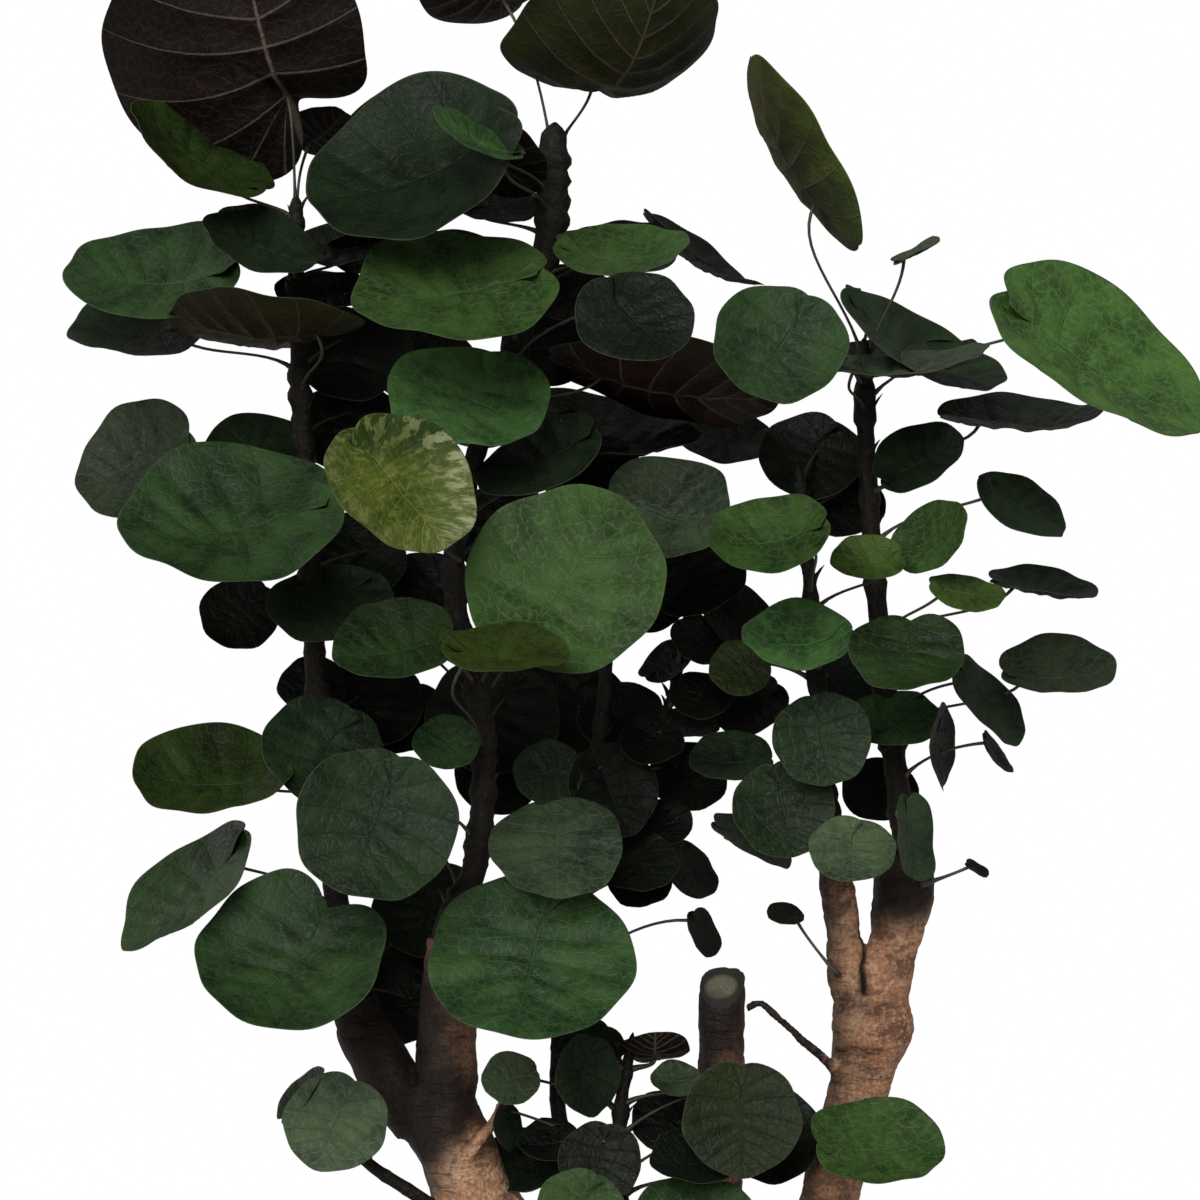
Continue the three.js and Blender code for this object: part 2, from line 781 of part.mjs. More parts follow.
// Stems with their leaves, front and back, grown together. The first stem stands just clear of
// the wood that carries it, and the others grow out of the first.
function shoot(name, { stems, leaves, carries }, random) {
  const paths = stems.map(smoothPath);
  paths[0].points[0].addScaledVector(footDirection(stems[0]), CLEARANCE);
  const solids = stems.map((rows, i) =>
    tube(paths[i], STEM.stepsPerSpan * (rows.length - 1), STEM.sides, (t) => radiusAlong(rows, t)),
  );
  const rows = [...leaves];
  for (const row of leaves) if (hasTwin(row)) rows.push(twinOf(row, random));
  for (const row of rows) {
    const leaf = leafOf(row, random);
    solids.push(leafSolid(leaf, footOn(paths, leaf)));
  }
  if (carries) solids.push(stubFor(SINGLE_LEAVES[carries]));
  return meshOf(name, joined(solids), "leaf");
}

// The short stub that carries a single leaf, pointing to the viewer.
function stubFor({ stub: [x, y, fromDepth, toDepth, radius] }) {
  return peg(place(x, y, fromDepth), place(x, y, toDepth), radius, STEM.sides);
}

// A leaf whose stalk stands just clear of its stub.
function singleLeaf(name, { stub: [x, y, , depth], leaf: row, material }, random) {
  const leaf = leafOf(row, random);
  const foot = place(x, y, depth).add(new THREE.Vector3(0, -CLEARANCE, 0));
  return meshOf(name, leafSolid(leaf, foot, new THREE.Vector3(0, -1, 0)), material);
}

// Trunk

function limb(rows) {
  const path = smoothPath(rows);
  const knobs = (t, angle) =>
    1 +
    WOOD.knob *
      Math.sin(WOOD.knobsRound * angle + WOOD.knobTwist * t) *
      Math.sin(WOOD.knobBeat * t + rows.length);
  const slim = rows[0][3] < WOOD.slimRadius;
  const steps = (slim ? 1 : WOOD.stepsPerSpan) * (rows.length - 1);
  return tube(path, steps, slim ? WOOD.slimSides : WOOD.sides, (t, angle) => {
    const end = t === 0 || t === 1;
    return WOOD.spare * radiusAlong(rows, t) * (end ? 1 : knobs(t, angle));
  });
}

// The spread of the root base above the soil, with a plain round plug below it.
function rootBase() {
  const points = [];
  const triangles = [];
  for (let i = 0; i <= ROOT.rings; i++) {
    const t = i / ROOT.rings;
    const height = THREE.MathUtils.lerp(SOIL.top + CLEARANCE, ROOT.top, t);
    const spread = THREE.MathUtils.lerp(ROOT.lowRadius, ROOT.topRadius, Math.sqrt(t));
    for (let k = 0; k < ROOT.sides; k++) {
      const angle = (2 * Math.PI * k) / ROOT.sides;
      const radius = spread * (1 + ROOT.ridge * (1 - t) * Math.cos(ROOT.ridges * angle + ROOT.turn));
      points.push(new THREE.Vector3(ROOT.x + radius * Math.cos(angle), radius * Math.sin(angle), height));
    }
  }
  for (let i = 0; i < ROOT.rings; i++)
    for (let k = 0; k < ROOT.sides; k++) {
      const a = i * ROOT.sides + k;
      const b = i * ROOT.sides + ((k + 1) % ROOT.sides);
      triangles.push(a, b, b + ROOT.sides, a, b + ROOT.sides, a + ROOT.sides);
    }
  for (let k = 1; k < ROOT.sides - 1; k++) {
    const last = ROOT.rings * ROOT.sides;
    triangles.push(0, k + 1, k);
    triangles.push(last, last + k, last + k + 1);
  }
  const plugRadius = SOIL.holeRadius - CLEARANCE;
  const plugFoot = SOIL.top - SOIL.holeDepth + CLEARANCE;
  const plug = turned(
    [
      [0, plugFoot],
      [plugRadius, plugFoot],
      [plugRadius, SOIL.top + ROOT.plugRise],
      [0, SOIL.top + ROOT.plugRise],
    ],
    ROOT.sides,
  );
  return solidOf(geometryOf(points, triangles)).add(plug);
}

// A straight peg from one point to another.
function peg(from, to, radius, sides) {
  return tube(new THREE.LineCurve3(from, to), 1, sides, () => radius);
}

// The spur that a side stem stands on, in line with the stem's own start.
function spurFor(rows) {
  const [x, y, depth, radius] = rows[0];
  const end = place(x, y, depth);
  const start = end.clone().addScaledVector(footDirection(rows), -STUB.length);
  return peg(start, end, radius * STUB.share, STEM.sides);
}

function trunk() {
  const limbs = Object.values(LIMBS).map(limb);
  const spurs = Object.values(SHOOTS)
    .filter((made) => made.onSpur)
    .map((made) => spurFor(made.stems[0]));
  const { limb_leaf, fork_leaf, trunk_leaf } = SINGLE_LEAVES;
  const stubs = [limb_leaf, fork_leaf, trunk_leaf].map(stubFor);
  return meshOf("trunk", joined([rootBase(), ...limbs, ...spurs, ...stubs]), "bark");
}

// Pot and soil

// The inside of the pot: its radius at the belly and at the mouth, and the belly's height.
const INSIDE = {
  belly: POT.belly - POT.wall - 2,
  mouth: POT.rimRadius - POT.wall - POT.mouthEdge,
  foot: POT.baseRadius - POT.wall,
  bellyHeight: POT.height * POT.bellyShare,
};

function pot() {
  const lipFoot = POT.height - POT.lipHeight;
  const body = turned(
    [
      [0, 0],
      [POT.baseRadius, 0],
      [POT.baseRadius + POT.footEdge, POT.footEdge],
      [POT.belly, INSIDE.bellyHeight],
      [POT.rimRadius - POT.lipReach, lipFoot],
      [POT.rimRadius, lipFoot + POT.lipEdge],
      [POT.rimRadius, POT.height - POT.lipEdge],
      [POT.rimRadius - POT.lipEdge, POT.height],
      [INSIDE.mouth + POT.mouthEdge / 2, POT.height],
      [INSIDE.mouth, POT.height - POT.mouthEdge],
      [INSIDE.belly, INSIDE.bellyHeight],
      [INSIDE.foot + POT.innerFoot, POT.floor + POT.footEdge],
      [INSIDE.foot, POT.floor],
      [0, POT.floor],
    ],
    POT.sides,
  );
  const drain = turned(
    [
      [0, -1],
      [POT.drainRadius, -1],
      [POT.drainRadius, POT.floor + 1],
      [0, POT.floor + 1],
    ],
    POT.drainSides,
  );
  let bored = body;
  for (let i = 0; i < POT.drains; i++) {
    const angle = (2 * Math.PI * i) / POT.drains;
    const at = [POT.drainReach * Math.cos(angle), POT.drainReach * Math.sin(angle), 0];
    bored = bored.subtract(drain.translate(at));
  }
  return meshOf("pot", bored, "glaze");
}

function soil() {
  const edge = SOIL.top - SOIL.edgeDrop;
  const mouthHeight = POT.height - POT.mouthEdge;
  const wallAtEdge = THREE.MathUtils.mapLinear(
    edge,
    INSIDE.bellyHeight,
    mouthHeight,
    INSIDE.belly,
    INSIDE.mouth,
  );
  const body = turned(
    [
      [0, POT.floor + CLEARANCE],
      [INSIDE.foot - CLEARANCE, POT.floor + CLEARANCE],
      [INSIDE.foot + POT.innerFoot - CLEARANCE, POT.floor + POT.footEdge + CLEARANCE],
      [INSIDE.belly - CLEARANCE, INSIDE.bellyHeight],
      [wallAtEdge - CLEARANCE, edge],
      [(wallAtEdge + SOIL.flatRadius) / 2, SOIL.top - SOIL.shoulderDrop],
      [SOIL.flatRadius, SOIL.top],
      [SOIL.holeRadius, SOIL.top],
      [SOIL.holeRadius, SOIL.top - SOIL.holeDepth],
      [0, SOIL.top - SOIL.holeDepth],
    ],
    POT.sides,
  );
  return meshOf("soil", body, "earth");
}

// The whole part
const plant = new THREE.Group();
plant.add(pot(), soil(), trunk());
const random = randomFrom(SEED);
for (const [name, made] of Object.entries(SHOOTS)) plant.add(shoot(name, made, random));
for (const [name, made] of Object.entries(SINGLE_LEAVES)) plant.add(singleLeaf(name, made, random));

export default plant;
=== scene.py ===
"""Fabian aralia grown as a bonsai, with its pot: leaves, stems, bark, soil, moss and glaze.

Millimetres are used for every size until a mesh is written, in the frame of the solids: +Z up,
+X to the viewer's right, +Y away from the viewer, origin in the middle of the pot's base.
"""

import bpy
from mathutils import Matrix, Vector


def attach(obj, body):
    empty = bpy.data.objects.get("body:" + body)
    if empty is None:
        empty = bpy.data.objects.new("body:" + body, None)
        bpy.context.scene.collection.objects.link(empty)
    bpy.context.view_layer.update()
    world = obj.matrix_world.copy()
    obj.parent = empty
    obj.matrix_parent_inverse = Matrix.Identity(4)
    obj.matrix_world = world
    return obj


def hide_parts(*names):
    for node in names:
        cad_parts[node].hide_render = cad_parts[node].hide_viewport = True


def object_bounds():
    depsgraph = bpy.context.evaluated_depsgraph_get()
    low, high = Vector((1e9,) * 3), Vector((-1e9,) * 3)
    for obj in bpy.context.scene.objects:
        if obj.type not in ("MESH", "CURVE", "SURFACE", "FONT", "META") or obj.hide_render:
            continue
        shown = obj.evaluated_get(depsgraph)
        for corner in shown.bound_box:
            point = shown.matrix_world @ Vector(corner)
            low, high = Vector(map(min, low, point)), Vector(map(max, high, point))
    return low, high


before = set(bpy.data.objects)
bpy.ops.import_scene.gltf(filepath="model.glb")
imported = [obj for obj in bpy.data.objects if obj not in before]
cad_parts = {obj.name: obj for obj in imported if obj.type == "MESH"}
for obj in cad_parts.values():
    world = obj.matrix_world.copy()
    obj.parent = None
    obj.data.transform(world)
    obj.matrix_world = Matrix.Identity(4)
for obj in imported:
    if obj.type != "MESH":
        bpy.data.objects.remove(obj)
SOLID_BOX = [list(corner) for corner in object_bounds()]

import logging
import math
from dataclasses import dataclass, field
from enum import Enum
from itertools import combinations
from typing import Sequence

import bpy
import numpy as np
from mathutils import Vector, noise

LOG = logging.getLogger("aralia")
BODY = "root"
METRE = 0.001
SEED = 20417
CLEARANCE = 0.3
TAU = 2 * math.pi
WHITE = (1.0, 1.0, 1.0)

Colour = tuple[float, float, float]
Array = np.ndarray
Rows = Sequence[Sequence[float]]
Materials = Sequence[bpy.types.Material]


class Draws:
    """Repeatable random numbers from 0 to 1."""

    MASK = 0xFFFFFFFF

    def __init__(self, seed: int) -> None:
        """Starts the row of numbers that a seed fixes."""
        self.state = seed & self.MASK

    def __call__(self) -> float:
        """Draws the next number of the row.

        Returns:
            The number.
        """
        self.state = (self.state + 0x6D2B79F5) & self.MASK
        t = self.state
        t = ((t ^ (t >> 15)) * (t | 1)) & self.MASK
        t ^= (t + (((t ^ (t >> 7)) * (t | 61)) & self.MASK)) & self.MASK
        return ((t ^ (t >> 14)) & self.MASK) / (self.MASK + 1)

    def between(self, low: float, high: float) -> float:
        """Returns the next number, spread from low to high."""
        return low + (high - low) * self()


@dataclass(frozen=True)
class Picture:
    """The upright picture that the plant is read from, seen level from in front.

    Its x and y are pixels, from the top left of a square of twice the middle.
    """

    middle: float = 600.0
    mm_per_pixel: float = 0.5
    distance: float = 2400.0
    x: float = -30.0
    z: float = 570.0

    def place(self, x: float, y: float, depth: float) -> Array:
        """Returns the point in space, in millimetres, of a picture point at a depth."""
        scale = self.mm_per_pixel * (1 + depth / self.distance)
        return np.array([self.x + (x - self.middle) * scale, depth, self.z + (self.middle - y) * scale])


PICTURE = Picture()


class Tone(Enum):
    """The colourings of the leaves: upper face, underside, and how pale the veins show, 0 to 1."""

    # Undersides are given dark colours, partly as painted shade where little light reaches them.
    DEEP = ((0.0105, 0.0295, 0.0078), (0.013, 0.011, 0.005), 0.6)
    FRESH = ((0.0205, 0.055, 0.011), (0.018, 0.018, 0.007), 0.78)
    OLIVE = ((0.0150, 0.030, 0.004), (0.018, 0.014, 0.005), 0.4)
    GREY = ((0.0195, 0.036, 0.0160), (0.013, 0.011, 0.007), 0.7)
    # Painted shade: SHADE and DEEP_SHADE are near-black colourings for leaves lying in the shade of others.
    SHADE = ((0.0058, 0.0135, 0.0052), (0.008, 0.006, 0.004), 0.35)
    DEEP_SHADE = ((0.0024, 0.0046, 0.0020), (0.004, 0.003, 0.002), 0.2)
    SAGE = ((0.0185, 0.041, 0.0065), (0.022, 0.028, 0.008), 0.5)
    PLUM = ((0.0105, 0.0295, 0.0078), (0.011, 0.0065, 0.0045), 0.8)
    GOLD = ((0.043, 0.068, 0.006), (0.060, 0.062, 0.014), 1.0)

    def __init__(self, top: Colour, under: Colour, veins: float) -> None:
        """Names the three parts of a tone."""
        self.top, self.under, self.veins = top, under, veins


DEEP, FRESH, OLIVE, GREY, SHADE, DEEP_SHADE, SAGE, PLUM, GOLD = Tone


@dataclass(frozen=True)
class LeafRow:
    """One leaf as read from the picture.

    x, y: pixel of its middle. depth: mm behind the trunk. width: mm. show: how squarely the upper
    face shows, 1 full, 0 edge on, below 0 the underside. lean: the way that face leans in the
    picture. tip: the way the tip points, both in degrees anticlockwise from the right. light: how
    light its colour is beside its tone, set leaf by leaf and partly painted light and shade: raised
    on leaves that fall in the shadow of others, lowered on leaves that show dark with shade. open:
    how wide the notch gapes, from 0, where its two lobes lie one over the other, to 1. veer: how far
    its veins turn aside from its middle, in degrees.
    hollow: how deep it is cupped beside the others. blunt: how squarely its ends are cut off.
    """

    x: float
    y: float
    depth: float
    width: float
    show: float
    lean: float
    tip: float
    tone: Tone = DEEP_SHADE
    light: float = 1.0
    open: float = 0.15
    veer: float = 0.0
    hollow: float = 1.0
    blunt: float = 0.0


def leaf_rows(*rows: tuple) -> tuple[LeafRow, ...]:
    """Returns leaves from rows of a leaf's values in order, the rarer ones by name at the end."""
    named = [(row[:-1], row[-1]) if isinstance(row[-1], dict) else (row, {}) for row in rows]
    return tuple(LeafRow(*values, **rest) for values, rest in named)


@dataclass(frozen=True)
class ShootPlan:
    """One leafy stem: its stems as rows like the limbs', its leaves, and what it grows on.

    on_spur: it stands on a short spur of the trunk. carries: the single leaf on a stub of its own.
    small: small leaves among the others that the solids leave out.
    """

    stems: tuple
    leaves: tuple
    on_spur: bool = False
    carries: str = ""
    small: tuple = ()


@dataclass(frozen=True)
class SingleLeafPlan:
    """A leaf on a stub of its own: (x pixel, y pixel, depth where the stub starts and ends, radius)."""

    stub: tuple
    leaf: LeafRow


# Limbs of the trunk: how dark the bark is painted at the foot and at the top, as painted shade, and
# then points as (x pixel, y pixel, depth mm, radius mm), from the foot up.
LIMBS = {
    "left": ((-2.1, 2.0), (
        (628, 1456, 2, 31), (598, 1400, 4, 27), (540, 1310, 5, 23), (476, 1200, 6, 20),
        (456, 1150, 7, 20), (436, 1108, 7, 20), (422, 1080, 7, 15),
    )),
    "brown_arm": ((1.05, 0.35), (
        (444, 1125, 6, 14), (448, 1080, 1, 15.5), (447, 1030, -3, 14.8), (450, 972, -6, 13.5),
        (450, 938, -6, 12),
    )),
    "dark_arm": ((1.25, 1.3), (
        (422, 1124, 9, 15), (393, 1080, 13, 15.5), (363, 1028, 15, 13.5), (354, 996, 15, 11),
    )),
    "right": ((0.5, 0.4), (
        (738, 1456, 2, 30), (766, 1400, 4, 26), (803, 1300, 5, 19), (830, 1200, 6, 14.6),
        (845, 1140, 6, 14.6), (858, 1090, 6, 15), (865, 1060, 6, 16.5), (871, 1028, 6, 21),
        (869, 1000, 6, 18.5), (867, 990, 6, 10),
    )),
    "left_fork": ((0.4, 0.5), (
        (858, 1002, 4, 11.5), (848, 972, 3, 10.8), (845, 945, 2, 9.4), (839, 900, 0, 8.9),
        (836, 882, 0, 8.9), (836, 862, 0, 8.5),
    )),
    "right_fork": ((-1.1, 1.7), (
        (880, 1004, 8, 14), (889, 970, 9, 12.4), (893, 945, 9, 12.6), (899, 915, 9, 14.6),
        (904, 882, 8, 15.4), (906, 856, 8, 11.6),
    )),
    "stump": ((-0.75, 1.55), (
        (702, 1450, 10, 22), (708, 1350, 14, 16), (716, 1200, 17, 13), (721, 1080, 17, 12),
        (722, 1010, 16, 11.5), (722, 968, 16, 11.4),
    )),
    "thin_twig": ((0.9, 1.0), (
        (846, 1084, 2, 3.2), (826, 1061, -4, 2.8), (800, 1038, -6, 2.4), (775, 1015, -8, 2.1),
        (760, 1003, -8, 2.1), (746, 1009, -8, 2.6),
    )),
    "strand_root": ((0.2, 0.1), (
        (512, 1290, -16, 4), (478, 1215, -14, 4.2), (458, 1172, -12, 3.6), (478, 1142, -13, 3.4),
        (500, 1112, -2, 3), (512, 1076, 10, 2.4),
    )),
}

# Creases over the front of the right limb, down from the fork and round its swelling, sunk and
# darkened with painted shade: how deep each is, and its points as pixels.
CREASES = (
    (1.0, ((864, 928), (866, 950), (862, 968), (864, 990))),
    (0.3, ((838, 1050), (852, 1046), (866, 1051), (880, 1047))),
    (0.35, ((872, 1010), (884, 1003), (897, 1006))),
)

# In the leaf rows, SHADE and DEEP_SHADE tones and many light values are painted shade and light: dark colours
# for leaves in shade, brighter colours for leaves that fall in shadow.
SHOOTS = {
    "left_shoot": ShootPlan(
        stems=(
            (
                (354, 996, 15, 8), (348, 975, 15, 7.5), (336, 900, 16, 6.5), (322, 760, 16, 6),
                (312, 600, 14, 5.5), (303, 440, 12, 5), (297, 300, 8, 4.4), (296, 212, 6, 3.4),
            ),
        ),
        leaves=leaf_rows(
            (236, 50, 8, 142, -0.92, 60, 138, PLUM, 0.42, {"open": 1.0, "veer": 36}),
            (322, 130, 42, 38, -0.6, 90, 60), (263, 240, -24, 64, 0.48, 70, 150, SHADE),
            (362, 252, 34, 38, -0.5, 90, 20), (156, 267, -14, 94, 0.56, 95, 170, DEEP, 1.3),
            (138, 326, 10, 72, 0.46, 90, 200, SHADE), (268, 318, -42, 100, -0.19, 88, 185, OLIVE),
            (136, 459, 8, 69, 0.82, 130, 200, GREY, 0.5),
            (232, 511, -54, 113, 0.62, 92, 205, DEEP, 1.2), (262, 446, 12, 58, 0.55, 80, 120, SHADE),
            (240, 612, 16, 42, 0.9, 90, 230), (332, 602, -8, 66, 0.6, 90, 250, SHADE, 1.8),
            (312, 685, 30, 36, 0.8, 90, 200), (325, 752, -6, 66, 0.8, 60, 240, SHADE, 1.3),
            (215, 768, -14, 84, 0.5, 90, 183, SAGE, 0.45),
            (185, 885, -8, 90, 0.38, 132, 218, FRESH, 0.5),
            (291, 950, -52, 96, 0.76, 95, 247, DEEP, {"open": 0.8}), (350, 350, 44, 64, 0.8, 80, 260),
            (345, 425, 40, 56, 0.85, 90, 250), (370, 702, 44, 56, 0.8, 90, 270),
            (352, 556, 46, 58, 0.8, 90, 230), (400, 958, 50, 58, 0.85, 90, 260),
            (402, 716, 60, 46, 0.85, 90, 250),
        ),
        small=leaf_rows(
            (203, 147, -8, 84, 0.42, 56, 142, SAGE, 0.5), (334, 244, 22, 56, 0.4, 90, 200),
            (322, 290, 14, 48, 0.5, 90, 200), (402, 1012, 30, 40, 0.8, 90, 250),
        ),
    ),
    "middle_shoot": ShootPlan(
        carries="yellow_leaf",
        stems=(
            (
                (450, 938, -6, 8), (450, 920, -6, 7.5), (476, 864, -6, 6.5), (483, 770, -6, 6),
                (476, 680, -6, 6), (455, 600, -6, 5.6), (462, 500, -4, 5.2), (508, 370, 0, 5),
                (547, 250, 4, 8), (554, 140, 6, 7.2),
            ),
        ),
        leaves=leaf_rows(
            (477, -16, 8, 62, -0.6, 100, 135, PLUM),
            (612, 32, -2, 112, -0.42, 98, 85, SAGE, 0.75, {"open": 0.6, "hollow": 2.3}),
            (415, 156, -44, 117, 0.68, 114, 200, DEEP, 0.36), (506, 160, -2, 46, -0.7, 60, 300),
            (456, 284, -66, 104, 0.58, 92, 201, FRESH, 0.85, {"open": 0.35}),
            # Painted light: the first leaf here is brightened 3.4 times, as it lies in the shadow of the
            # leaves above.
            (468, 395, -36, 82, 0.68, 85, 250, DEEP, 3.4), (620, 246, -14, 70, 0.44, 92, 340, FRESH),
            (701, 248, 46, 74, 0.14, 57, 327), (634, 316, -64, 60, 0.8, 80, 300, SHADE, 0.45),
            (662, 376, 12, 124, -0.28, 80, 348, PLUM, 1.4), (538, 456, -22, 70, 0.5, 116, 206, SHADE),
            (564, 578, -78, 100, 0.92, 100, 60, FRESH, 0.8),
            (395, 640, -54, 64, 0.62, 95, 200, FRESH, 0.5),
            (504, 647, -120, 64, 0.36, 85, 12, OLIVE, 0.8),
            (376, 823, -58, 81, 0.94, 80, 250, DEEP, 0.47), (446, 742, -26, 34, 0.8, 90, 230, DEEP),
            (424, 362, 66, 56, 0.8, 90, 270), (492, 716, 36, 70, 0.85, 90, 250),
            (506, 530, 52, 62, 0.8, 90, 240), (606, 424, 44, 100, 0.35, 84, 0),
            (552, 344, 44, 54, 0.8, 90, 280), (596, 480, 30, 54, 0.85, 90, 300),
            (424, 590, 62, 48, 0.85, 90, 230), (428, 906, 44, 58, 0.85, 90, 260),
            (498, 776, 68, 46, 0.85, 90, 260),
        ),
        small=leaf_rows(
            (479, 134, -66, 52, 0.32, 62, 155, DEEP, 1.8), (500, 206, 16, 40, 0.5, 90, 340),
            (566, 290, 24, 44, 0.7, 90, 300),
        ),
    ),
    "centre_shoot": ShootPlan(
        on_spur=True,
        stems=(
            (
                (638, 1348, 8, 5), (627, 1306, 8, 4.8), (588, 1222, 9, 4.5), (560, 1120, 10, 4.2),
                (558, 1045, 14, 4), (564, 950, 18, 4), (584, 830, 24, 3.8), (604, 700, 26, 3.6),
                (604, 600, 20, 3.4), (600, 530, 14, 3),
            ),
            (
                (584, 830, 24, 3), (630, 780, 34, 2.6), (662, 720, 40, 2.4), (680, 668, 42, 2),
            ),
        ),
        leaves=leaf_rows(
            (664, 506, -24, 68, 0.78, 100, 330, GREY, 0.85),
            (556, 846, -20, 68, 0.72, 90, 270, GREY, 0.95), (548, 772, 8, 36, 0.9, 90, 200, SHADE),
            (612, 790, 12, 50, 0.9, 30, 290), (531, 957, -46, 104, 0.76, 90, 262, DEEP, 1.3),
            (690, 868, 36, 36, 0.6, 40, 280), (664, 822, 40, 30, 0.8, 90, 300),
            (652, 740, 20, 34, 0.7, 90, 250), (690, 722, 44, 32, 0.5, 90, 340),
            (640, 880, 30, 34, 0.8, 90, 260), (704, 932, 34, 27, 0.55, 25, 295),
            (668, 660, 44, 34, 0.5, 120, 60), (566, 704, 74, 66, 0.85, 90, 240),
            (622, 716, 40, 46, 0.8, 90, 300), (690, 566, 36, 60, 0.85, 90, 300),
            (646, 590, 42, 50, 0.85, 90, 280), (688, 776, 56, 42, 0.85, 90, 300),
        ),
        small=leaf_rows(
            (702, 640, 20, 34, 0.7, 60, 300), (702, 694, 24, 34, 0.7, 90, 250),
            (638, 862, 20, 42, 0.7, 90, 290),
        ),
    ),
    "right_shoot": ShootPlan(
        stems=(
            (
                (906, 856, 8, 7.5), (906, 838, 8, 7), (894, 760, 12, 6), (880, 640, 14, 5.4),
                (868, 480, 14, 4.8), (864, 356, 10, 4),
            ),
        ),
        leaves=leaf_rows(
            (802, 151, -6, 108, -0.13, 30, 120, SAGE, 2.2, {"hollow": 0.9, "blunt": 2.0}),
            (915, 250, 0, 28, 0.2, 118, 28, GREY), (780, 341, -66, 67, 0.9, 85, 240, DEEP),
            (920, 338, 10, 98, 0.34, 60, 322, DEEP, 0.8), (898, 358, -36, 92, 0.16, 94, 355, GREY),
            (1102, 350, -20, 130, 0.52, 56, 328, FRESH, 1.2),
            (1022, 410, 24, 90, 0.2, 92, 0, SHADE, 1.2), (918, 456, -6, 50, 0.62, 120, 30, SHADE),
            (930, 535, -28, 44, 0.66, 135, 20, FRESH, 0.8), (1021, 504, -10, 54, 0.5, 59, 329, SHADE),
            (1043, 582, 6, 58, 0.24, 83, 352, SHADE), (966, 591, -36, 40, 0.45, 80, 350, SAGE),
            (907, 650, -60, 58, 0.68, 92, 265, FRESH, 0.38, {"open": 0.6}),
            (895, 718, -8, 46, 0.62, 90, 300, DEEP), (1057, 666, 0, 61, 0.48, 92, 0, GREY, 0.55),
            (989, 700, -12, 54, 0.45, 37, 307, SHADE), (943, 745, -8, 46, 0.3, 0, 270),
            (916, 836, -34, 46, 0.48, 10, 270, SHADE, 2.3), (880, 790, 34, 40, 0.8, 90, 250),
        ),
        small=leaf_rows(
            (997, 752, -8, 26, 0.3, 35, 310),
        ),
    ),
    "right_low_shoot": ShootPlan(
        stems=(
            (
                (836, 862, 0, 5.5), (836, 846, 0, 5), (826, 780, 0, 4.4), (818, 700, 2, 4),
                (812, 620, 6, 3.6), (806, 540, 8, 3.2), (800, 480, 10, 2.6),
            ),
        ),
        leaves=leaf_rows(
            (812, 455, 30, 56, 0.8, 90, 250), (770, 531, -62, 62, 0.62, 100, 190, FRESH, 0.85),
            # Painted light: the second leaf here is brightened 2.6 times, as it lies in shadow.
            (868, 558, -44, 38, 0.6, 90, 200, SAGE), (799, 634, -38, 58, 0.56, 92, 190, DEEP, 2.6),
            (740, 668, 4, 32, 0.9, 90, 220, OLIVE), (822, 738, -34, 50, 0.95, 100, 280, DEEP, 0.55),
            (732, 757, -6, 44, 0.55, 90, 180, SHADE), (784, 808, -30, 52, 0.95, 90, 280, FRESH, 0.2),
            (752, 840, 0, 48, 0.3, 60, 335, SHADE), (853, 849, -46, 44, 0.72, 90, 268, GREY, 1.45),
            (844, 502, 34, 44, 0.8, 90, 260), (742, 618, 40, 44, 0.7, 60, 210),
            (752, 706, 38, 40, 0.7, 120, 230), (724, 434, 80, 58, 0.5, 84, 200),
            (848, 676, 46, 40, 0.8, 90, 300),
        ),
    ),
    "low_centre_shoot": ShootPlan(
        on_spur=True,
        stems=(
            (
                (658, 1352, -4, 5), (646, 1318, -7, 4.8), (630, 1264, -8, 4.5), (618, 1180, -6, 4),
                (622, 1100, 0, 3.4), (630, 1050, 4, 2.6),
            ),
        ),
        leaves=leaf_rows(
            (742, 1118, -34, 60, 0.95, 90, 270, OLIVE, 0.38), (676, 1078, -16, 26, 0.6, 90, 180, GREY),
            (655, 1047, -2, 36, -0.5, 90, 90, PLUM), (588, 1075, -18, 42, 0.75, 10, 250, SHADE),
            # Painted shade: this leaf's colour is darkened to 0.15 where it lies in shade.
            (600, 1161, -34, 42, 0.95, 90, 260, OLIVE, 0.15),
            (695, 1156, -24, 46, 0.5, 90, 200, SHADE, 0.25), (695, 1222, -44, 62, 0.7, 90, 250, DEEP),
            (580, 1212, -50, 46, 0.9, 90, 250, FRESH, 0.7), (549, 1140, -12, 32, 0.6, 90, 190),
            (508, 1126, -8, 26, 0.5, 10, 250, SHADE), (668, 1120, 2, 38, 0.8, 90, 250),
            (511, 1078, -16, 30, 0.85, 90, 200, GREY),
        ),
        small=leaf_rows(
            (524, 1160, 8, 42, 0.7, 90, 200), (590, 1046, 6, 36, 0.7, 90, 250, SHADE),
            (770, 1134, -6, 56, 0.8, 90, 290),
        ),
    ),
    "low_left_shoot": ShootPlan(
        on_spur=True,
        stems=(
            (
                (446, 1216, -14, 4), (412, 1192, -18, 3.6), (372, 1166, -18, 3.2),
                (350, 1142, -18, 2.4),
            ),
        ),
        leaves=leaf_rows(
            (336, 1122, -32, 53, 0.9, 90, 250, GREY, 1.3), (300, 1094, -12, 36, 0.3, 140, 60, SHADE),
        ),
    ),
}

SINGLE_LEAVES = {
    name: SingleLeafPlan(stub, *leaf_rows(leaf))
    for name, stub, leaf in (
        ("yellow_leaf", (458, 560, -5, -13, 2), (402, 482, -94, 81, 0.75, 50, 300, GOLD, 1.1)),
        ("limb_leaf", (837, 974, 2, -8, 1.8), (786, 914, -12, 20, 0.5, 80, 170)),
        ("fork_leaf", (923, 884, 4, -10, 1.6), (977, 868, -6, 14, 0.4, 60, 335)),
        ("trunk_leaf", (838, 1172, 0, -12, 2.4), (877, 1140, -38, 68, 0.56, 85, 17, FRESH, 0.85)),
    )
}


# Curves, tubes and meshes


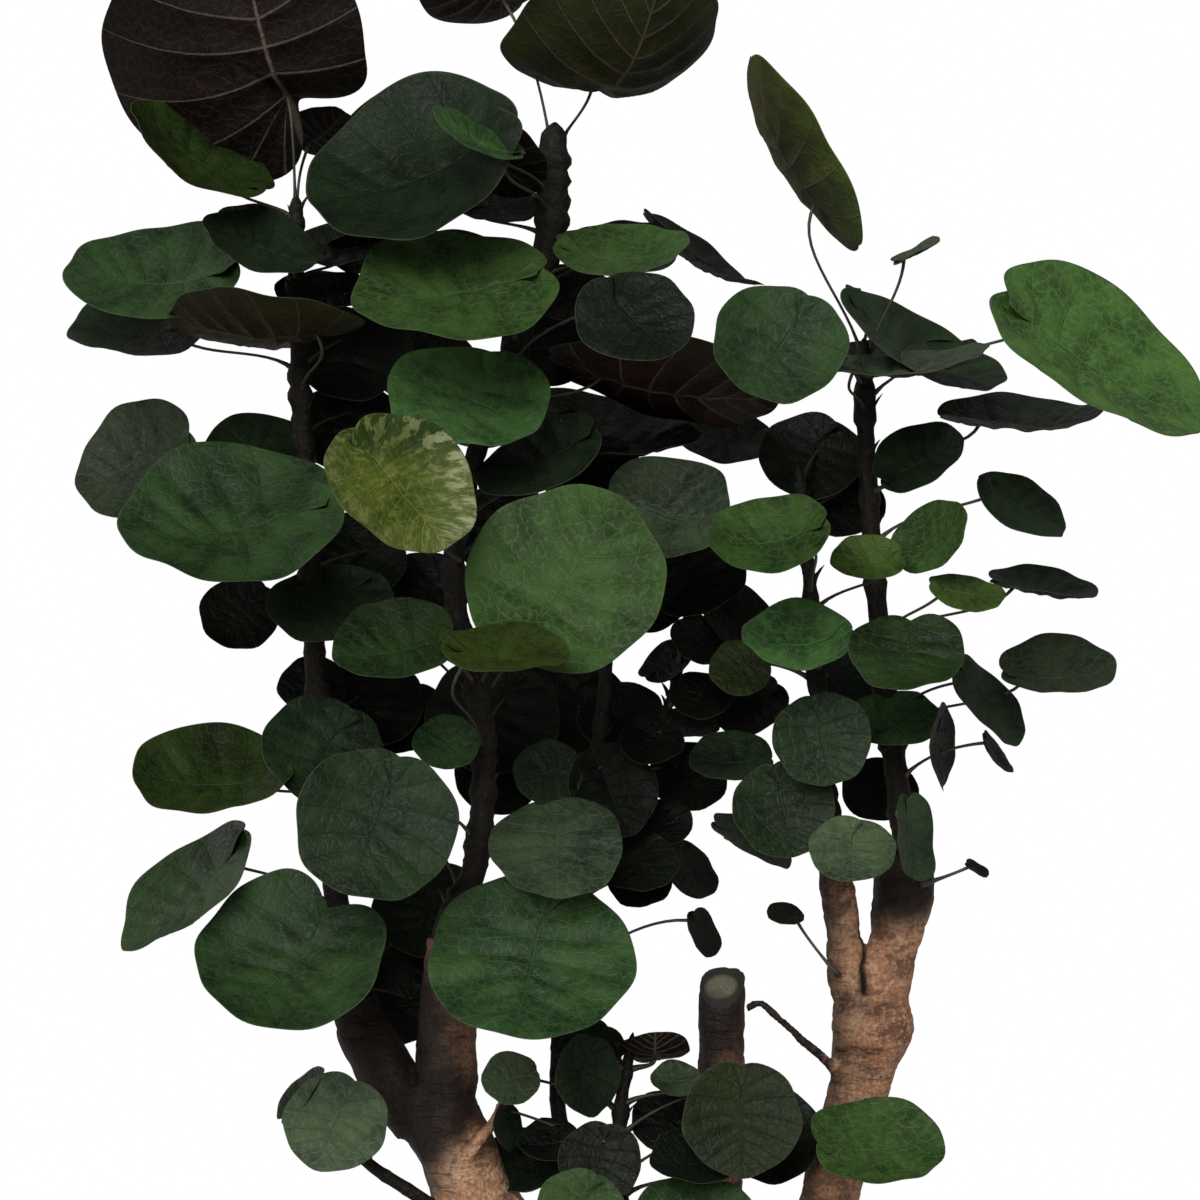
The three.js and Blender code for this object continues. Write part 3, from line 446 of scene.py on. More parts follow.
def unit(vectors: Array) -> Array:
    """Returns the vectors at length 1."""
    return vectors / np.maximum(np.linalg.norm(vectors, axis=-1, keepdims=True), 1e-9)


def around(sides: int) -> Array:
    """Returns the angles of points spaced evenly round a circle."""
    return TAU * np.arange(sides) / sides


def bell(away: Array, width: float) -> Array:
    """Returns 1 in the middle of a smooth bump, falling off over its width."""
    return np.exp(-((away / width) ** 2))


class SmoothPath:
    """A smooth curve through points, each span taking the same share of the way."""

    def __init__(self, rows: Rows) -> None:
        """Places rows of (x pixel, y pixel, depth mm, radius mm) in space."""
        self.points = np.array([PICTURE.place(*row[:3]) for row in rows])
        self.radii = np.array([row[3] for row in rows], float)

    def at(self, share: Array) -> Array:
        """Places points on the curve.

        Args:
            share: Shares of its way, from 0 to 1.

        Returns:
            The points.
        """
        points = self.points
        ends = np.vstack([2 * points[0] - points[1], points, 2 * points[-1] - points[-2]])
        spans = len(points) - 1
        along = np.clip(np.asarray(share, float), 0, 1) * spans
        span = np.minimum(along.astype(int), spans - 1)
        w = (along - span)[:, None]
        before, start, end, after = (ends[span + k] for k in range(4))
        leave, arrive = (end - before) / 2, (after - start) / 2
        curve = (2 * start - 2 * end + leave + arrive) * w**3
        return curve + (3 * end - 3 * start - 2 * leave - arrive) * w**2 + leave * w + start

    def spot(self, share: float) -> Array:
        """Returns the one point of the curve at a share of its way."""
        return self.at(np.array([share]))[0]

    def radius(self, share: Array) -> Array:
        """Returns the radius, drawn straight between the points, at shares from 0 to 1."""
        along = np.clip(np.asarray(share, float), 0, 1) * (len(self.radii) - 1)
        return np.interp(along, np.arange(len(self.radii)), self.radii)

    def steps(self, spacing: float) -> Array:
        """Returns the shares of rings that lie about one spacing apart."""
        length = np.linalg.norm(np.diff(self.at(np.linspace(0, 1, 200)), axis=0), axis=1).sum()
        return np.linspace(0, 1, max(4, round(length / spacing)) + 1)


def ring_faces(rings: int, sides: int) -> list[tuple[int, ...]]:
    """Joins rings of points by four-sided faces, with a flat face on each end.

    Args:
        rings: How many rings there are.
        sides: Points in each ring.

    Returns:
        The faces.
    """
    faces = []
    for i in range(rings - 1):
        for k in range(sides):
            a, b = i * sides + k, i * sides + (k + 1) % sides
            faces.append((a, b, b + sides, a + sides))
    faces.append(tuple(reversed(range(sides))))
    faces.append(tuple(range((rings - 1) * sides, rings * sides)))
    return faces


def placed(name: str, data: bpy.types.ID | None) -> bpy.types.Object:
    """Places new data in the scene.

    Args:
        name: The object's name.
        data: What it shows.

    Returns:
        The new object.
    """
    made = bpy.data.objects.new(name, data)
    bpy.context.scene.collection.objects.link(made)
    return made


def stamp(mesh: bpy.types.Mesh, name: str, values: Array) -> None:
    """Gives each point of a mesh four numbers for its shader."""
    mesh.attributes.new(name, "FLOAT_COLOR", "POINT").data.foreach_set("color", values.ravel())


def applied(piece: bpy.types.Object) -> bpy.types.Mesh:
    """Returns a piece's mesh with its modifiers applied."""
    seen = piece.evaluated_get(bpy.context.evaluated_depsgraph_get())
    return bpy.data.meshes.new_from_object(seen)


def vectors(mesh: bpy.types.Mesh, name: str) -> Array:
    """Reads a vector for each point of a mesh.

    Args:
        mesh: The mesh.
        name: What is read: "co", its place, or "normal", its way out.

    Returns:
        One vector a point.
    """
    flat = np.zeros(3 * len(mesh.vertices))
    mesh.vertices.foreach_get(name, flat)
    return flat.reshape(-1, 3)


def settle(piece: bpy.types.Object, slot: str, *nodes: str) -> None:
    """Lets a piece ride on the plant, and puts it in the place of its solids.

    Args:
        piece: The piece.
        slot: Not used.
        nodes: The solids that it stands for.
    """
    for vertex in piece.data.vertices:
        vertex.co = [min(max(v, low), high) for v, low, high in zip(vertex.co, *SOLID_BOX)]
    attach(piece, BODY)
    if nodes:
        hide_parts(*nodes)
    faces = sum(len(polygon.vertices) - 2 for polygon in piece.data.polygons)
    LOG.info("%s: %d triangles, stands for %s", piece.name, faces, ", ".join(nodes) or "nothing")


class MeshParts:
    """Collects points, faces and their colours, and makes one object of them."""

    def __init__(self) -> None:
        """Starts with nothing collected."""
        self.points: list[Array] = []
        self.faces: list[tuple[int, ...]] = []
        self.slots: list[int] = []
        self.looks: list[Array] = []
        self.count = 0

    def add(
        self,
        points: Array,
        faces: Sequence[Sequence[int]],
        slot: int | Sequence[int] = 0,
        tint: Array | Colour = WHITE,
        marks: Array | Sequence[float] = (0.0, 0.0, 0.0, 0.0),
        flat: Array | Sequence[float] = (0.0, 0.0),
    ) -> None:
        """Adds one shape.

        Args:
            points: Its points, in millimetres.
            faces: Its faces, by place among its own points.
            slot: The material's place, one for all faces or one each.
            tint: Colour, one for all points or one each.
            marks: Four numbers for the shader, one set for all points or one each.
            flat: Two flat coordinates for veins, one set for all points or one each.
        """
        size = len(points)
        self.points.append(np.asarray(points, float))
        self.faces.extend(tuple(int(i) + self.count for i in face) for face in faces)
        self.slots.extend([slot] * len(faces) if isinstance(slot, int) else slot)
        shown = [(tint, 3), ((1.0,), 1), (marks, 4), (flat, 2)]
        self.looks.append(np.hstack([np.broadcast_to(np.asarray(v, float), (size, n)) for v, n in shown]))
        self.count += size

    def tube(
        self,
        line: Array,
        radii: Array | Sequence[float] | float,
        sides: int,
        slot: int = 0,
        tint: Colour = WHITE,
        along: Array | float = 0.0,
        phase: float = 0.0,
    ) -> None:
        """Adds a closed tube round a line of points, its sides turning steadily along it.

        Args:
            line: The middle of each ring.
            radii: One radius for all, one a ring, or one for each side of each ring.
            sides: Sides of the tube.
            slot: The material's place.
            tint: Its colour.
            along: The first number for the shader, one for all rings or one each.
            phase: The second number for the shader.
        """
        rings = len(line)
        ahead, side = unit(np.gradient(line, axis=0)), np.zeros_like(line)
        start = np.cross(ahead[0], [0.0, 1.0, 0.0])
        side[0] = unit(start if np.linalg.norm(start) > 0.1 else np.cross(ahead[0], [1.0, 0.0, 0.0]))
        for i in range(1, rings):
            side[i] = unit(side[i - 1] - ahead[i] * np.dot(side[i - 1], ahead[i]))
        other, turn = np.cross(ahead, side), around(sides)[None, :, None]
        columns = max(1, np.size(radii) // rings)
        reach = np.broadcast_to(np.reshape(radii, (-1, columns)), (rings, sides))
        out = side[:, None] * np.cos(turn) + other[:, None] * np.sin(turn)
        marks = np.zeros((rings, 4))
        marks[:, 0], marks[:, 1] = along, phase
        points = (line[:, None] + out * reach[..., None]).reshape(-1, 3)
        self.add(points, ring_faces(rings, sides), slot, tint, np.repeat(marks, sides, axis=0))

    def build(
        self, name: str, materials: Materials, smooth: bool = True
    ) -> bpy.types.Object:
        """Makes the object.

        Args:
            name: The object's name.
            materials: Its materials, by slot.
            smooth: Whether faces are shaded smooth.

        Returns:
            The new object, linked to the scene.
        """
        mesh = bpy.data.meshes.new(name)
        mesh.from_pydata((np.vstack(self.points) * METRE).tolist(), [], self.faces)
        mesh.polygons.foreach_set("material_index", np.array(self.slots, np.int32))
        looks = np.vstack(self.looks)
        stamp(mesh, "tint", looks[:, :4])
        stamp(mesh, "marks", looks[:, 4:8])
        corners = np.zeros(len(mesh.loops), np.int32)
        mesh.loops.foreach_get("vertex_index", corners)
        mesh.uv_layers.new(name="blade").data.foreach_set("uv", looks[corners, 8:].ravel())
        for material in materials:
            mesh.materials.append(material)
        mesh.validate()
        if smooth:
            mesh.shade_smooth()
        return placed(name, mesh)


# Leaves


@dataclass(frozen=True)
class BladeShape:
    """What every blade has in common; lengths in mm, shares of the radius elsewhere."""

    notch: float = 0.42
    notch_width: float = 0.3
    cup: float = 0.17
    wave: float = 0.062
    hub: float = 0.4814
    closed_notch: float = 0.12
    overlap: float = 0.3
    overlap_width: float = 0.9
    lift: float = 0.022
    lift_width: float = 0.55
    half_thickness: float = 0.34
    rim: float = 0.12
    rim_start: float = 0.985
    cell: float = 2.75
    rib_spacing: float = 0.2
    rib_start: float = -0.5
    rib_gain: float = 1.22
    rib_bend: float = 0.25
    back_turn: float = 2.034
    back_gain: float = 0.5
    quilt: float = 0.029
    midrib: float = 0.016
    midrib_width: float = 3.0
    blister: float = 0.95
    blister_size: float = 11.0
    ruffle: float = 0.02
    frill: float = 0.022


SHAPE = BladeShape()


@dataclass(frozen=True)
class TwinRule:
    """How a leaf behind the stems answers a wide one in front of them, across an upright plane."""

    plane: float = 20.0
    least_width: float = 61.0
    share: float = 0.85
    scatter: float = 7.0
    turn: float = 28.0

    def applies(self, row: LeafRow) -> bool:
        """Returns whether a leaf is wide enough and stays in front of the plane all over."""
        reach = row.width / 2 * math.sqrt(1 - row.show**2)
        return row.width >= self.least_width and row.depth + reach < self.plane

    def answer(self, row: LeafRow, draws: Draws) -> LeafRow:
        """Answers a leaf in front by one behind, turned away from the viewer.

        Args:
            row: The leaf in front.
            draws: Random numbers for how far it lies aside.

        Returns:
            The leaf behind.
        """
        x, y, tip = (
            value + draws.between(-spread, spread)
            for value, spread in ((row.x, self.scatter), (row.y, self.scatter), (row.tip, self.turn))
        )
        depth, width = 2 * self.plane - row.depth, row.width * self.share
        return LeafRow(x, y, depth, width, -abs(row.show), row.lean, tip, row.tone, open=row.open)


TWINS = TwinRule()


class LeafSlot(int, Enum):
    """Materials of a leafy piece, by their place on the mesh."""

    TOP = 0
    UNDER = 1
    STALK = 2
    STEM = 3


class Leaf:
    """One leaf blade in space, cupped, waved, quilted between its veins."""

    def __init__(self, row: LeafRow, draws: Draws) -> None:
        """Sets the leaf in space.

        Args:
            row: The leaf as read from the picture.
            draws: Random numbers for its cup and wave.
        """
        self.row = row
        self.radius = row.width / 2
        self.middle = PICTURE.place(row.x, row.y, row.depth)
        lean, tip = math.radians(row.lean), math.radians(row.tip)
        aside = math.sqrt(1 - row.show**2)
        self.up = np.array([aside * math.cos(lean), -row.show, aside * math.sin(lean)])
        along = np.array([math.cos(tip), 0.0, math.sin(tip)])
        self.along = unit(along - self.up * np.dot(along, self.up))
        self.across = np.cross(self.along, self.up)
        self.cup = SHAPE.cup * (0.5 + draws()) * row.hollow
        self.waves = 2 + math.floor(2 * draws())
        self.phase = TAU * draws()

    def edge(self, angle: Array) -> Array:
        """Draws the outline of the blade, before its lobes are lapped.

        Args:
            angle: Angle round from the notch at the base.

        Returns:
            How far the edge lies from the middle, in mm.
        """
        depth = SHAPE.closed_notch + (SHAPE.notch - SHAPE.closed_notch) * self.row.open
        near = np.minimum(angle, TAU - angle)
        notch = depth * bell(near, SHAPE.notch_width)
        ruffle = np.sin(5 * angle + 2 * self.phase) + 0.6 * np.sin(9 * angle + 3 * self.phase)
        ruffled = 1 - SHAPE.ruffle + SHAPE.ruffle * ruffle * np.minimum(1, (near / 0.7) ** 2)
        power = 2 + self.row.blunt
        square = (np.abs(np.cos(angle)) ** power + np.abs(np.sin(angle)) ** power) ** (-1 / power)
        return self.radius * (1 - notch) * ruffled * square

    def lapped(self, angle: Array, share: Array) -> tuple[Array, Array]:
        """Slides the lobes at the base one over the other.

        Args:
            angle: Angle round from the notch.
            share: Share of the way from the middle to the edge.

        Returns:
            The new angle, and how far the blade rises there in mm.
        """
        t = np.clip((share - SHAPE.hub) / (1 - SHAPE.hub), 0, 1)
        ease = (1 - self.row.open) * t * t * (3 - 2 * t)
        near = np.minimum(angle, TAU - angle)
        side = np.where(angle < np.pi, 1.0, -1.0)
        slide = -side * SHAPE.overlap * bell(near, SHAPE.overlap_width) * ease
        over = 1 if self.phase < math.pi else -1
        lift = over * side * SHAPE.lift * self.radius * bell(near, SHAPE.lift_width) * ease
        return angle + slide, lift

    def rise(self, angle: Array, share: Array) -> Array:
        """Cups, waves and frills the blade, without the quilting.

        Args:
            angle: Angle round from the notch at the base.
            share: Share of the way from the middle to the edge.

        Returns:
            How high it lies over its own plane, in mm.
        """
        wave = SHAPE.wave * share**2 * np.sin(self.waves * angle + self.phase)
        frill = SHAPE.frill * share**5 * np.sin(7 * angle + 3 * self.phase) * np.cos(2 * angle + self.phase)
        return self.radius * (self.cup * (share**2 - 1) + wave + frill)

    def ribs(self, flat: Array) -> Array:
        """Spaces the side veins.

        Args:
            flat: Flat points from the hub, in blade radii.

        Returns:
            0 on a side vein and 1 midway between two.
        """
        aside = np.abs(flat[..., 0])
        level = flat[..., 1] - SHAPE.rib_bend * aside**2
        start = (level - SHAPE.rib_start * aside) / (1 + SHAPE.rib_gain * aside)
        back = (SHAPE.back_turn - np.arctan2(aside, level)) * SHAPE.back_gain
        count = (np.maximum(start, 0) + np.minimum(back, 0)) / SHAPE.rib_spacing
        return 2 * np.abs(count - np.round(count))

    def relief(self, flat: Array, share: Array) -> Array:
        """Quilts the blade, sunk along its veins.

        Args:
            flat: Flat points from the hub, in blade radii.
            share: Share of the way from the middle to the edge.

        Returns:
            The height in mm.
        """
        quilt = SHAPE.quilt * self.radius * (np.sin(self.ribs(flat) * np.pi / 2) - 0.6)
        middle = bell(flat[..., 0] * self.radius, SHAPE.midrib_width)
        rib = SHAPE.midrib * self.radius * middle * np.clip(1 - flat[..., 1] / 1.6, 0, 1)
        return (1 - share**8) * (quilt * (1 - middle) - rib)

    def blisters(self, points: Array) -> Array:
        """Returns small swellings between the veins in mm, by place in space."""
        size = SHAPE.blister_size
        return np.array([noise.fractal(Vector(p / size), 0.9, 2.3, 2) for p in points]) * SHAPE.blister

    def hub(self) -> Array:
        """Finds where the stalk meets the blade, on its lower face, just inside the notch.

        Returns:
            The point.
        """
        reach, base = self.radius * SHAPE.hub, np.array([0.0])
        height = float(self.rise(base, reach / self.edge(base))[0])
        height = height - SHAPE.midrib * self.radius - SHAPE.half_thickness
        return self.middle - self.along * reach + self.up * height

    def grid(self) -> tuple[Array, Array]:
        """Spaces the points of the blade, closer near the notch.

        Returns:
            Their angles round from the notch, and their shares of the way out.
        """
        half = int(np.clip(round(math.pi * self.radius / SHAPE.cell), 14, 72))
        u = np.linspace(0, 1, half + 1)
        side = math.pi * (0.5 * u + 0.5 * u**1.5)
        rings = int(np.clip(round(self.radius / SHAPE.cell), 5, 24))
        shares = np.append(np.arange(1, rings) / rings * SHAPE.rim_start, [SHAPE.rim_start, 1.0])
        return np.concatenate([side, TAU - side[:-1][::-1]]), shares

    def top_faces(self, columns: int, shares: Array) -> tuple[list[tuple[int, ...]], list[int]]:
        """Joins the points of the grid, whose two edges are one within the hub and a notch beyond it.

        Args:
            columns: Points round the blade.
            shares: Shares of the way out of its rings.

        Returns:
            The faces, and the points round the rim.
        """
        count = len(shares)
        place = np.arange(count * columns).reshape(count, columns)
        joined = int((shares <= SHAPE.hub).sum())
        place[:joined, -1] = place[:joined, 0]
        faces = [(place[0, k], place[0, k + 1], count * columns) for k in range(columns - 1)]
        for inner, outer in zip(place, place[1:]):
            faces += [(outer[k], outer[k + 1], inner[k + 1], inner[k]) for k in range(columns - 1)]
        return faces, [*place[-1], *place[joined:-1, -1][::-1], *place[joined - 1 : -1, 0]]

    def add_to(self, parts: MeshParts, shade: float) -> None:
        """Adds the blade's two faces and its rim.

        Args:
            parts: Where it is collected.
            shade: Brightness of this leaf, about 1.
        """
        angles, shares = self.grid()
        angle, share = (np.append(grid.ravel(), 0.0) for grid in np.meshgrid(angles, shares))
        reach = self.edge(angle) * share
        turned, lift = self.lapped(angle, share)
        spread = reach[:, None] * np.stack([np.sin(turned), -np.cos(turned)], -1)
        flat = reach[:, None] * np.stack([np.sin(angle), -np.cos(angle)], -1) / self.radius + [0.0, SHAPE.hub]
        veer = math.radians(self.row.veer)
        flat = flat @ np.array([[math.cos(veer), -math.sin(veer)], [math.sin(veer), math.cos(veer)]])
        base = self.middle + spread[:, :1] * self.across + spread[:, 1:] * self.along
        height = self.rise(angle, share) + self.relief(flat, share) + lift
        height = height + self.blisters(base) * (1 - share**8)
        middle = base + height[:, None] * self.up
        full = np.sqrt(np.clip(1 - share**10, 0, 1))
        half_thickness = SHAPE.rim + (SHAPE.half_thickness - SHAPE.rim) * full
        offset = half_thickness[:, None] * self.up

        top_faces, loop = self.top_faces(len(angles), shares)
        used = np.unique(np.concatenate([np.ravel(face) for face in top_faces]))
        renumber = np.zeros(len(share), int)
        renumber[used] = np.arange(len(used))
        middle, offset, flat, share = middle[used], offset[used], flat[used], share[used]
        size = len(used)
        top_faces = [tuple(renumber[list(face)]) for face in top_faces]
        loop = [renumber[i] for i in loop]
        under_faces = [tuple(size + i for i in reversed(face)) for face in top_faces]
        rim_faces = [(b, a, a + size, b + size) for a, b in zip(loop, loop[1:] + loop[:1])]
        kinds = ((top_faces, LeafSlot.TOP), (under_faces, LeafSlot.UNDER), (rim_faces, LeafSlot.TOP))
        slots = [slot for faces, slot in kinds for _ in faces]
        tone = self.row.tone
        # row.light lightens or darkens the whole leaf: partly its own tone, partly painted light and shade.
        tint = np.repeat([tone.top, tone.under], size, axis=0) * shade * self.row.light
        marks = np.tile([0.0, self.phase / TAU, tone.veins, self.radius / 100], (2 * size, 1))
        marks[:, 0] = np.tile(share, 2)
        points = np.vstack([middle + offset, middle - offset])
        parts.add(points, top_faces + under_faces + rim_faces, slots, tint, marks, np.tile(flat, (2, 1)))


@dataclass(frozen=True)
class StalkShape:
    """A leaf stalk: radii in mm, and shares of its length that shape its bend."""

    radius: float = 0.72
    top_radius: float = 1.0
    sheath: float = 1.3
    sheath_reach: float = 10.0
    sides: int = 7
    steps: int = 14
    drop: float = 0.45
    climb: float = 0.24
    swing: float = 0.2
    below: float = 0.28
    behind: float = 0.16
    set_off: float = 0.2
    nearness: float = 0.6
    feet: int = 48

    def foot(self, paths: Sequence[SmoothPath], leaf: Leaf) -> tuple[int, float]:
        """Finds the nearest good foot for a leaf's stalk, a little below the blade.

        Args:
            paths: The stems' lines.
            leaf: The leaf.

        Returns:
            The stem, and the share of its way.
        """
        top = leaf.hub()
        shares = np.arange(1, self.feet + 1) / (self.feet + 1)
        costs = []
        for path in paths:
            points = path.at(shares)
            level = np.hypot(points[:, 0] - top[0], points[:, 1] - top[1])
            miss = np.abs(top[2] - points[:, 2] - self.drop * level)
            costs.append(miss + self.nearness * np.linalg.norm(points - top, axis=1))
        which, least = np.unravel_index(np.argmin(costs), (len(paths), self.feet))
        return int(which), float(shares[least])

    def add_to(self, parts: MeshParts, leaf: Leaf, foot: Array, start: Array | None = None) -> None:
        """Adds the stalk, bending up from its foot and meeting the blade from below.

        Args:
            parts: Where it is collected.
            leaf: The leaf that it carries.
            foot: Where it starts.
            start: The way it sets off, for a stalk on a stub.
        """
        top = leaf.hub() + leaf.up * SHAPE.half_thickness
        length = float(np.linalg.norm(top - foot))
        if start is None:
            rising = foot + np.array([0, 0, self.climb * length])
            rising = rising + (top - rising) * self.swing
        else:
            rising = foot + start * self.set_off * length
        arriving = top - leaf.up * self.below * length - leaf.along * self.behind * length
        t = np.linspace(0, 1, self.steps + 1)[:, None]
        line = foot * (1 - t) ** 3 + 3 * rising * t * (1 - t) ** 2
        line = line + 3 * arriving * t**2 * (1 - t) + top * t**3
        t = t[:, 0]
        radii = self.radius + (self.top_radius - self.radius) * t**6
        radii = radii + self.sheath * bell(t * length, self.sheath_reach)
        parts.tube(line, radii, self.sides, LeafSlot.STALK, leaf.row.tone.under, t, leaf.phase)


STALK = StalkShape()


@dataclass(frozen=True)
class StemShape:
    """A leafy stem: ring spacing and scars in mm, swellings as shares of its radius."""

    sides: int = 12
    spacing: float = 2.5
    slim: float = 0.94
    node: float = 0.3
    node_length: float = 3.2
    most_swell: float = 0.4
    scar: float = 0.1
    scar_spacing: float = 13.0
    sink: float = 5.0
    tip_length: float = 9.0
    sheaths: int = 14

    def add_to(self, parts: MeshParts, path: SmoothPath, feet: Sequence[float], phase: float) -> None:
        """Adds one stem with its swollen nodes and leaf scars, and a blunt bud on its tip.

        Args:
            parts: Where it is collected.
            path: The stem's line.
            feet: Shares of its way where stalks start.
            phase: Shifts the scars, so that no two stems are alike.
        """
        shares = path.steps(self.spacing)
        line = path.at(shares)
        far = np.concatenate([[0], np.cumsum(np.linalg.norm(np.diff(line, axis=0), axis=1))])
        swell = self.scar * np.maximum(0, np.cos(TAU * far / self.scar_spacing + phase)) ** 6
        for foot in feet:
            swell = swell + self.node * bell(far - np.interp(foot, shares, far), self.node_length)
        radii = path.radius(shares) * (self.slim + np.minimum(swell, self.most_swell))
        start = line[0] - unit(line[1] - line[0]) * self.sink
        ahead = unit(line[-1] - line[-2])
        line = np.vstack([start, line, *(line[-1] + ahead * self.tip_length * w for w in (0.35, 0.7, 1.0))])
        radii = np.concatenate([[radii[0] * 0.8], radii, radii[-1] * np.array([0.95, 0.6, 0.12])])
        ribbed = 1 + 0.05 * np.sin(3 * around(self.sides)[None] + line[:, 2:] * 0.09 + phase)
        young = np.concatenate([[0.0], shares, [1.0, 1.0, 1.0]])
        parts.tube(line, radii[:, None] * ribbed, self.sides, LeafSlot.STEM, along=young, phase=phase)

    def add_sheaths(self, parts: MeshParts, path: SmoothPath, draws: Draws) -> None:
        """Adds the papery sheaths that stand out round the growing tip of a stem.

        Args:
            parts: Where they are collected.
            path: The stem's line.
            draws: Random numbers for their turns and sizes.
        """
        for k in range(self.sheaths):
            share = 1 - 0.02 * k
            turn = 2.4 * k + draws.between(-0.4, 0.4)
            out = np.array([math.cos(turn), math.sin(turn), 0.0])
            length = draws.between(5, 14)
            t = np.linspace(0, 1, 5)[:, None]
            sideways = float(path.radius(np.array([share]))[0]) * 0.7 + length * 0.45 * t**1.6
            line = path.spot(share) + out * sideways + np.array([0, 0, 1.0]) * length * 0.8 * t
            radii = draws.between(0.9, 1.5) * (1 - t[:, 0]) ** 0.6 + 0.12
            parts.tube(line, radii, 5, LeafSlot.STEM, along=0.9, phase=draws())


STEM = StemShape()


@dataclass
class Foliage:
    """The leafy stems and the single leaves, each one piece in the place of its solid."""

    materials: Materials
    draws: Draws = field(default_factory=lambda: Draws(SEED))
    looks: Draws = field(default_factory=lambda: Draws(SEED + 1))

    def grow(
        self, parts: MeshParts, paths: Sequence[SmoothPath], leaf: Leaf, shade: float
    ) -> tuple[int, float]:
        """Adds a leaf with its stalk on the nearest good place of the stems.

        Args:
            parts: Where they are collected.
            paths: The stems' lines.
            leaf: The leaf.
            shade: Brightness of the leaf, about 1.

        Returns:
            The stem, and the share of its way where the stalk starts.
        """
        which, share = STALK.foot(paths, leaf)
        leaf.add_to(parts, shade)
        STALK.add_to(parts, leaf, paths[which].spot(share))
        return which, share

    def shoot(self, name: str, plan: ShootPlan) -> None:
        """Builds one leafy stem.

        Args:
            name: The solid that it stands for.
            plan: Its stems and leaves.
        """
        parts = MeshParts()
        paths = [SmoothPath(rows) for rows in plan.stems]
        paths[0].points[0] += unit(paths[0].points[1] - paths[0].points[0]) * CLEARANCE
        rows = [*plan.leaves, *(TWINS.answer(row, self.draws) for row in plan.leaves if TWINS.applies(row))]
        feet = [
            self.grow(parts, paths, Leaf(row, self.draws), self.looks.between(0.85, 1.18)) for row in rows
        ]
        for row in plan.small:
            self.grow(parts, paths, Leaf(row, self.looks), 1.0)
        for which, path in enumerate(paths):
            STEM.add_to(parts, path, [share for stem, share in feet if stem == which], which + len(name))
            STEM.add_sheaths(parts, path, self.looks)
        if plan.carries:
            self.stub(parts, SINGLE_LEAVES[plan.carries])
        self.finish(parts, name, "leaf")

    def stub(self, parts: MeshParts, plan: SingleLeafPlan) -> None:
        """Adds the short stub that carries a single leaf, pointing to the viewer.

        Args:
            parts: Where it is collected.
            plan: The stub and its leaf.
        """
        x, y, start, end, radius = plan.stub
        line = np.array([PICTURE.place(x, y, depth) for depth in np.linspace(start, end, 5)])
        radii = radius * np.array([1.25, 1.15, 1.0, 0.96, 0.9])
        parts.tube(line, radii, STEM.sides, LeafSlot.STEM, along=0.6, phase=0.3)

    def single(self, name: str, plan: SingleLeafPlan) -> None:
        """Builds a leaf on its own stalk.

        Args:
            name: The solid that it stands for.
            plan: Its stub and the leaf.
        """
        parts = MeshParts()
        leaf = Leaf(plan.leaf, self.draws)
        x, y, _, depth, _ = plan.stub
        leaf.add_to(parts, 1.0)
        foot = PICTURE.place(x, y, depth) + np.array([0.0, 0.5, 0.0])
        STALK.add_to(parts, leaf, foot, np.array([0.0, -1.0, 0.0]))
        self.finish(parts, name, "yellow_leaf" if plan.leaf.tone is GOLD else "leaf")

    def finish(self, parts: MeshParts, name: str, slot: str) -> None:
        """Makes and settles a leafy piece."""
        settle(parts.build(f"{name}_foliage", self.materials), slot, name)

    def build(self) -> None:
        """Builds every leafy stem, and then the single leaves, in the order of their draws."""
        for name, plan in SHOOTS.items():
            self.shoot(name, plan)
        for name, plan in SINGLE_LEAVES.items():
            self.single(name, plan)


# Trunk


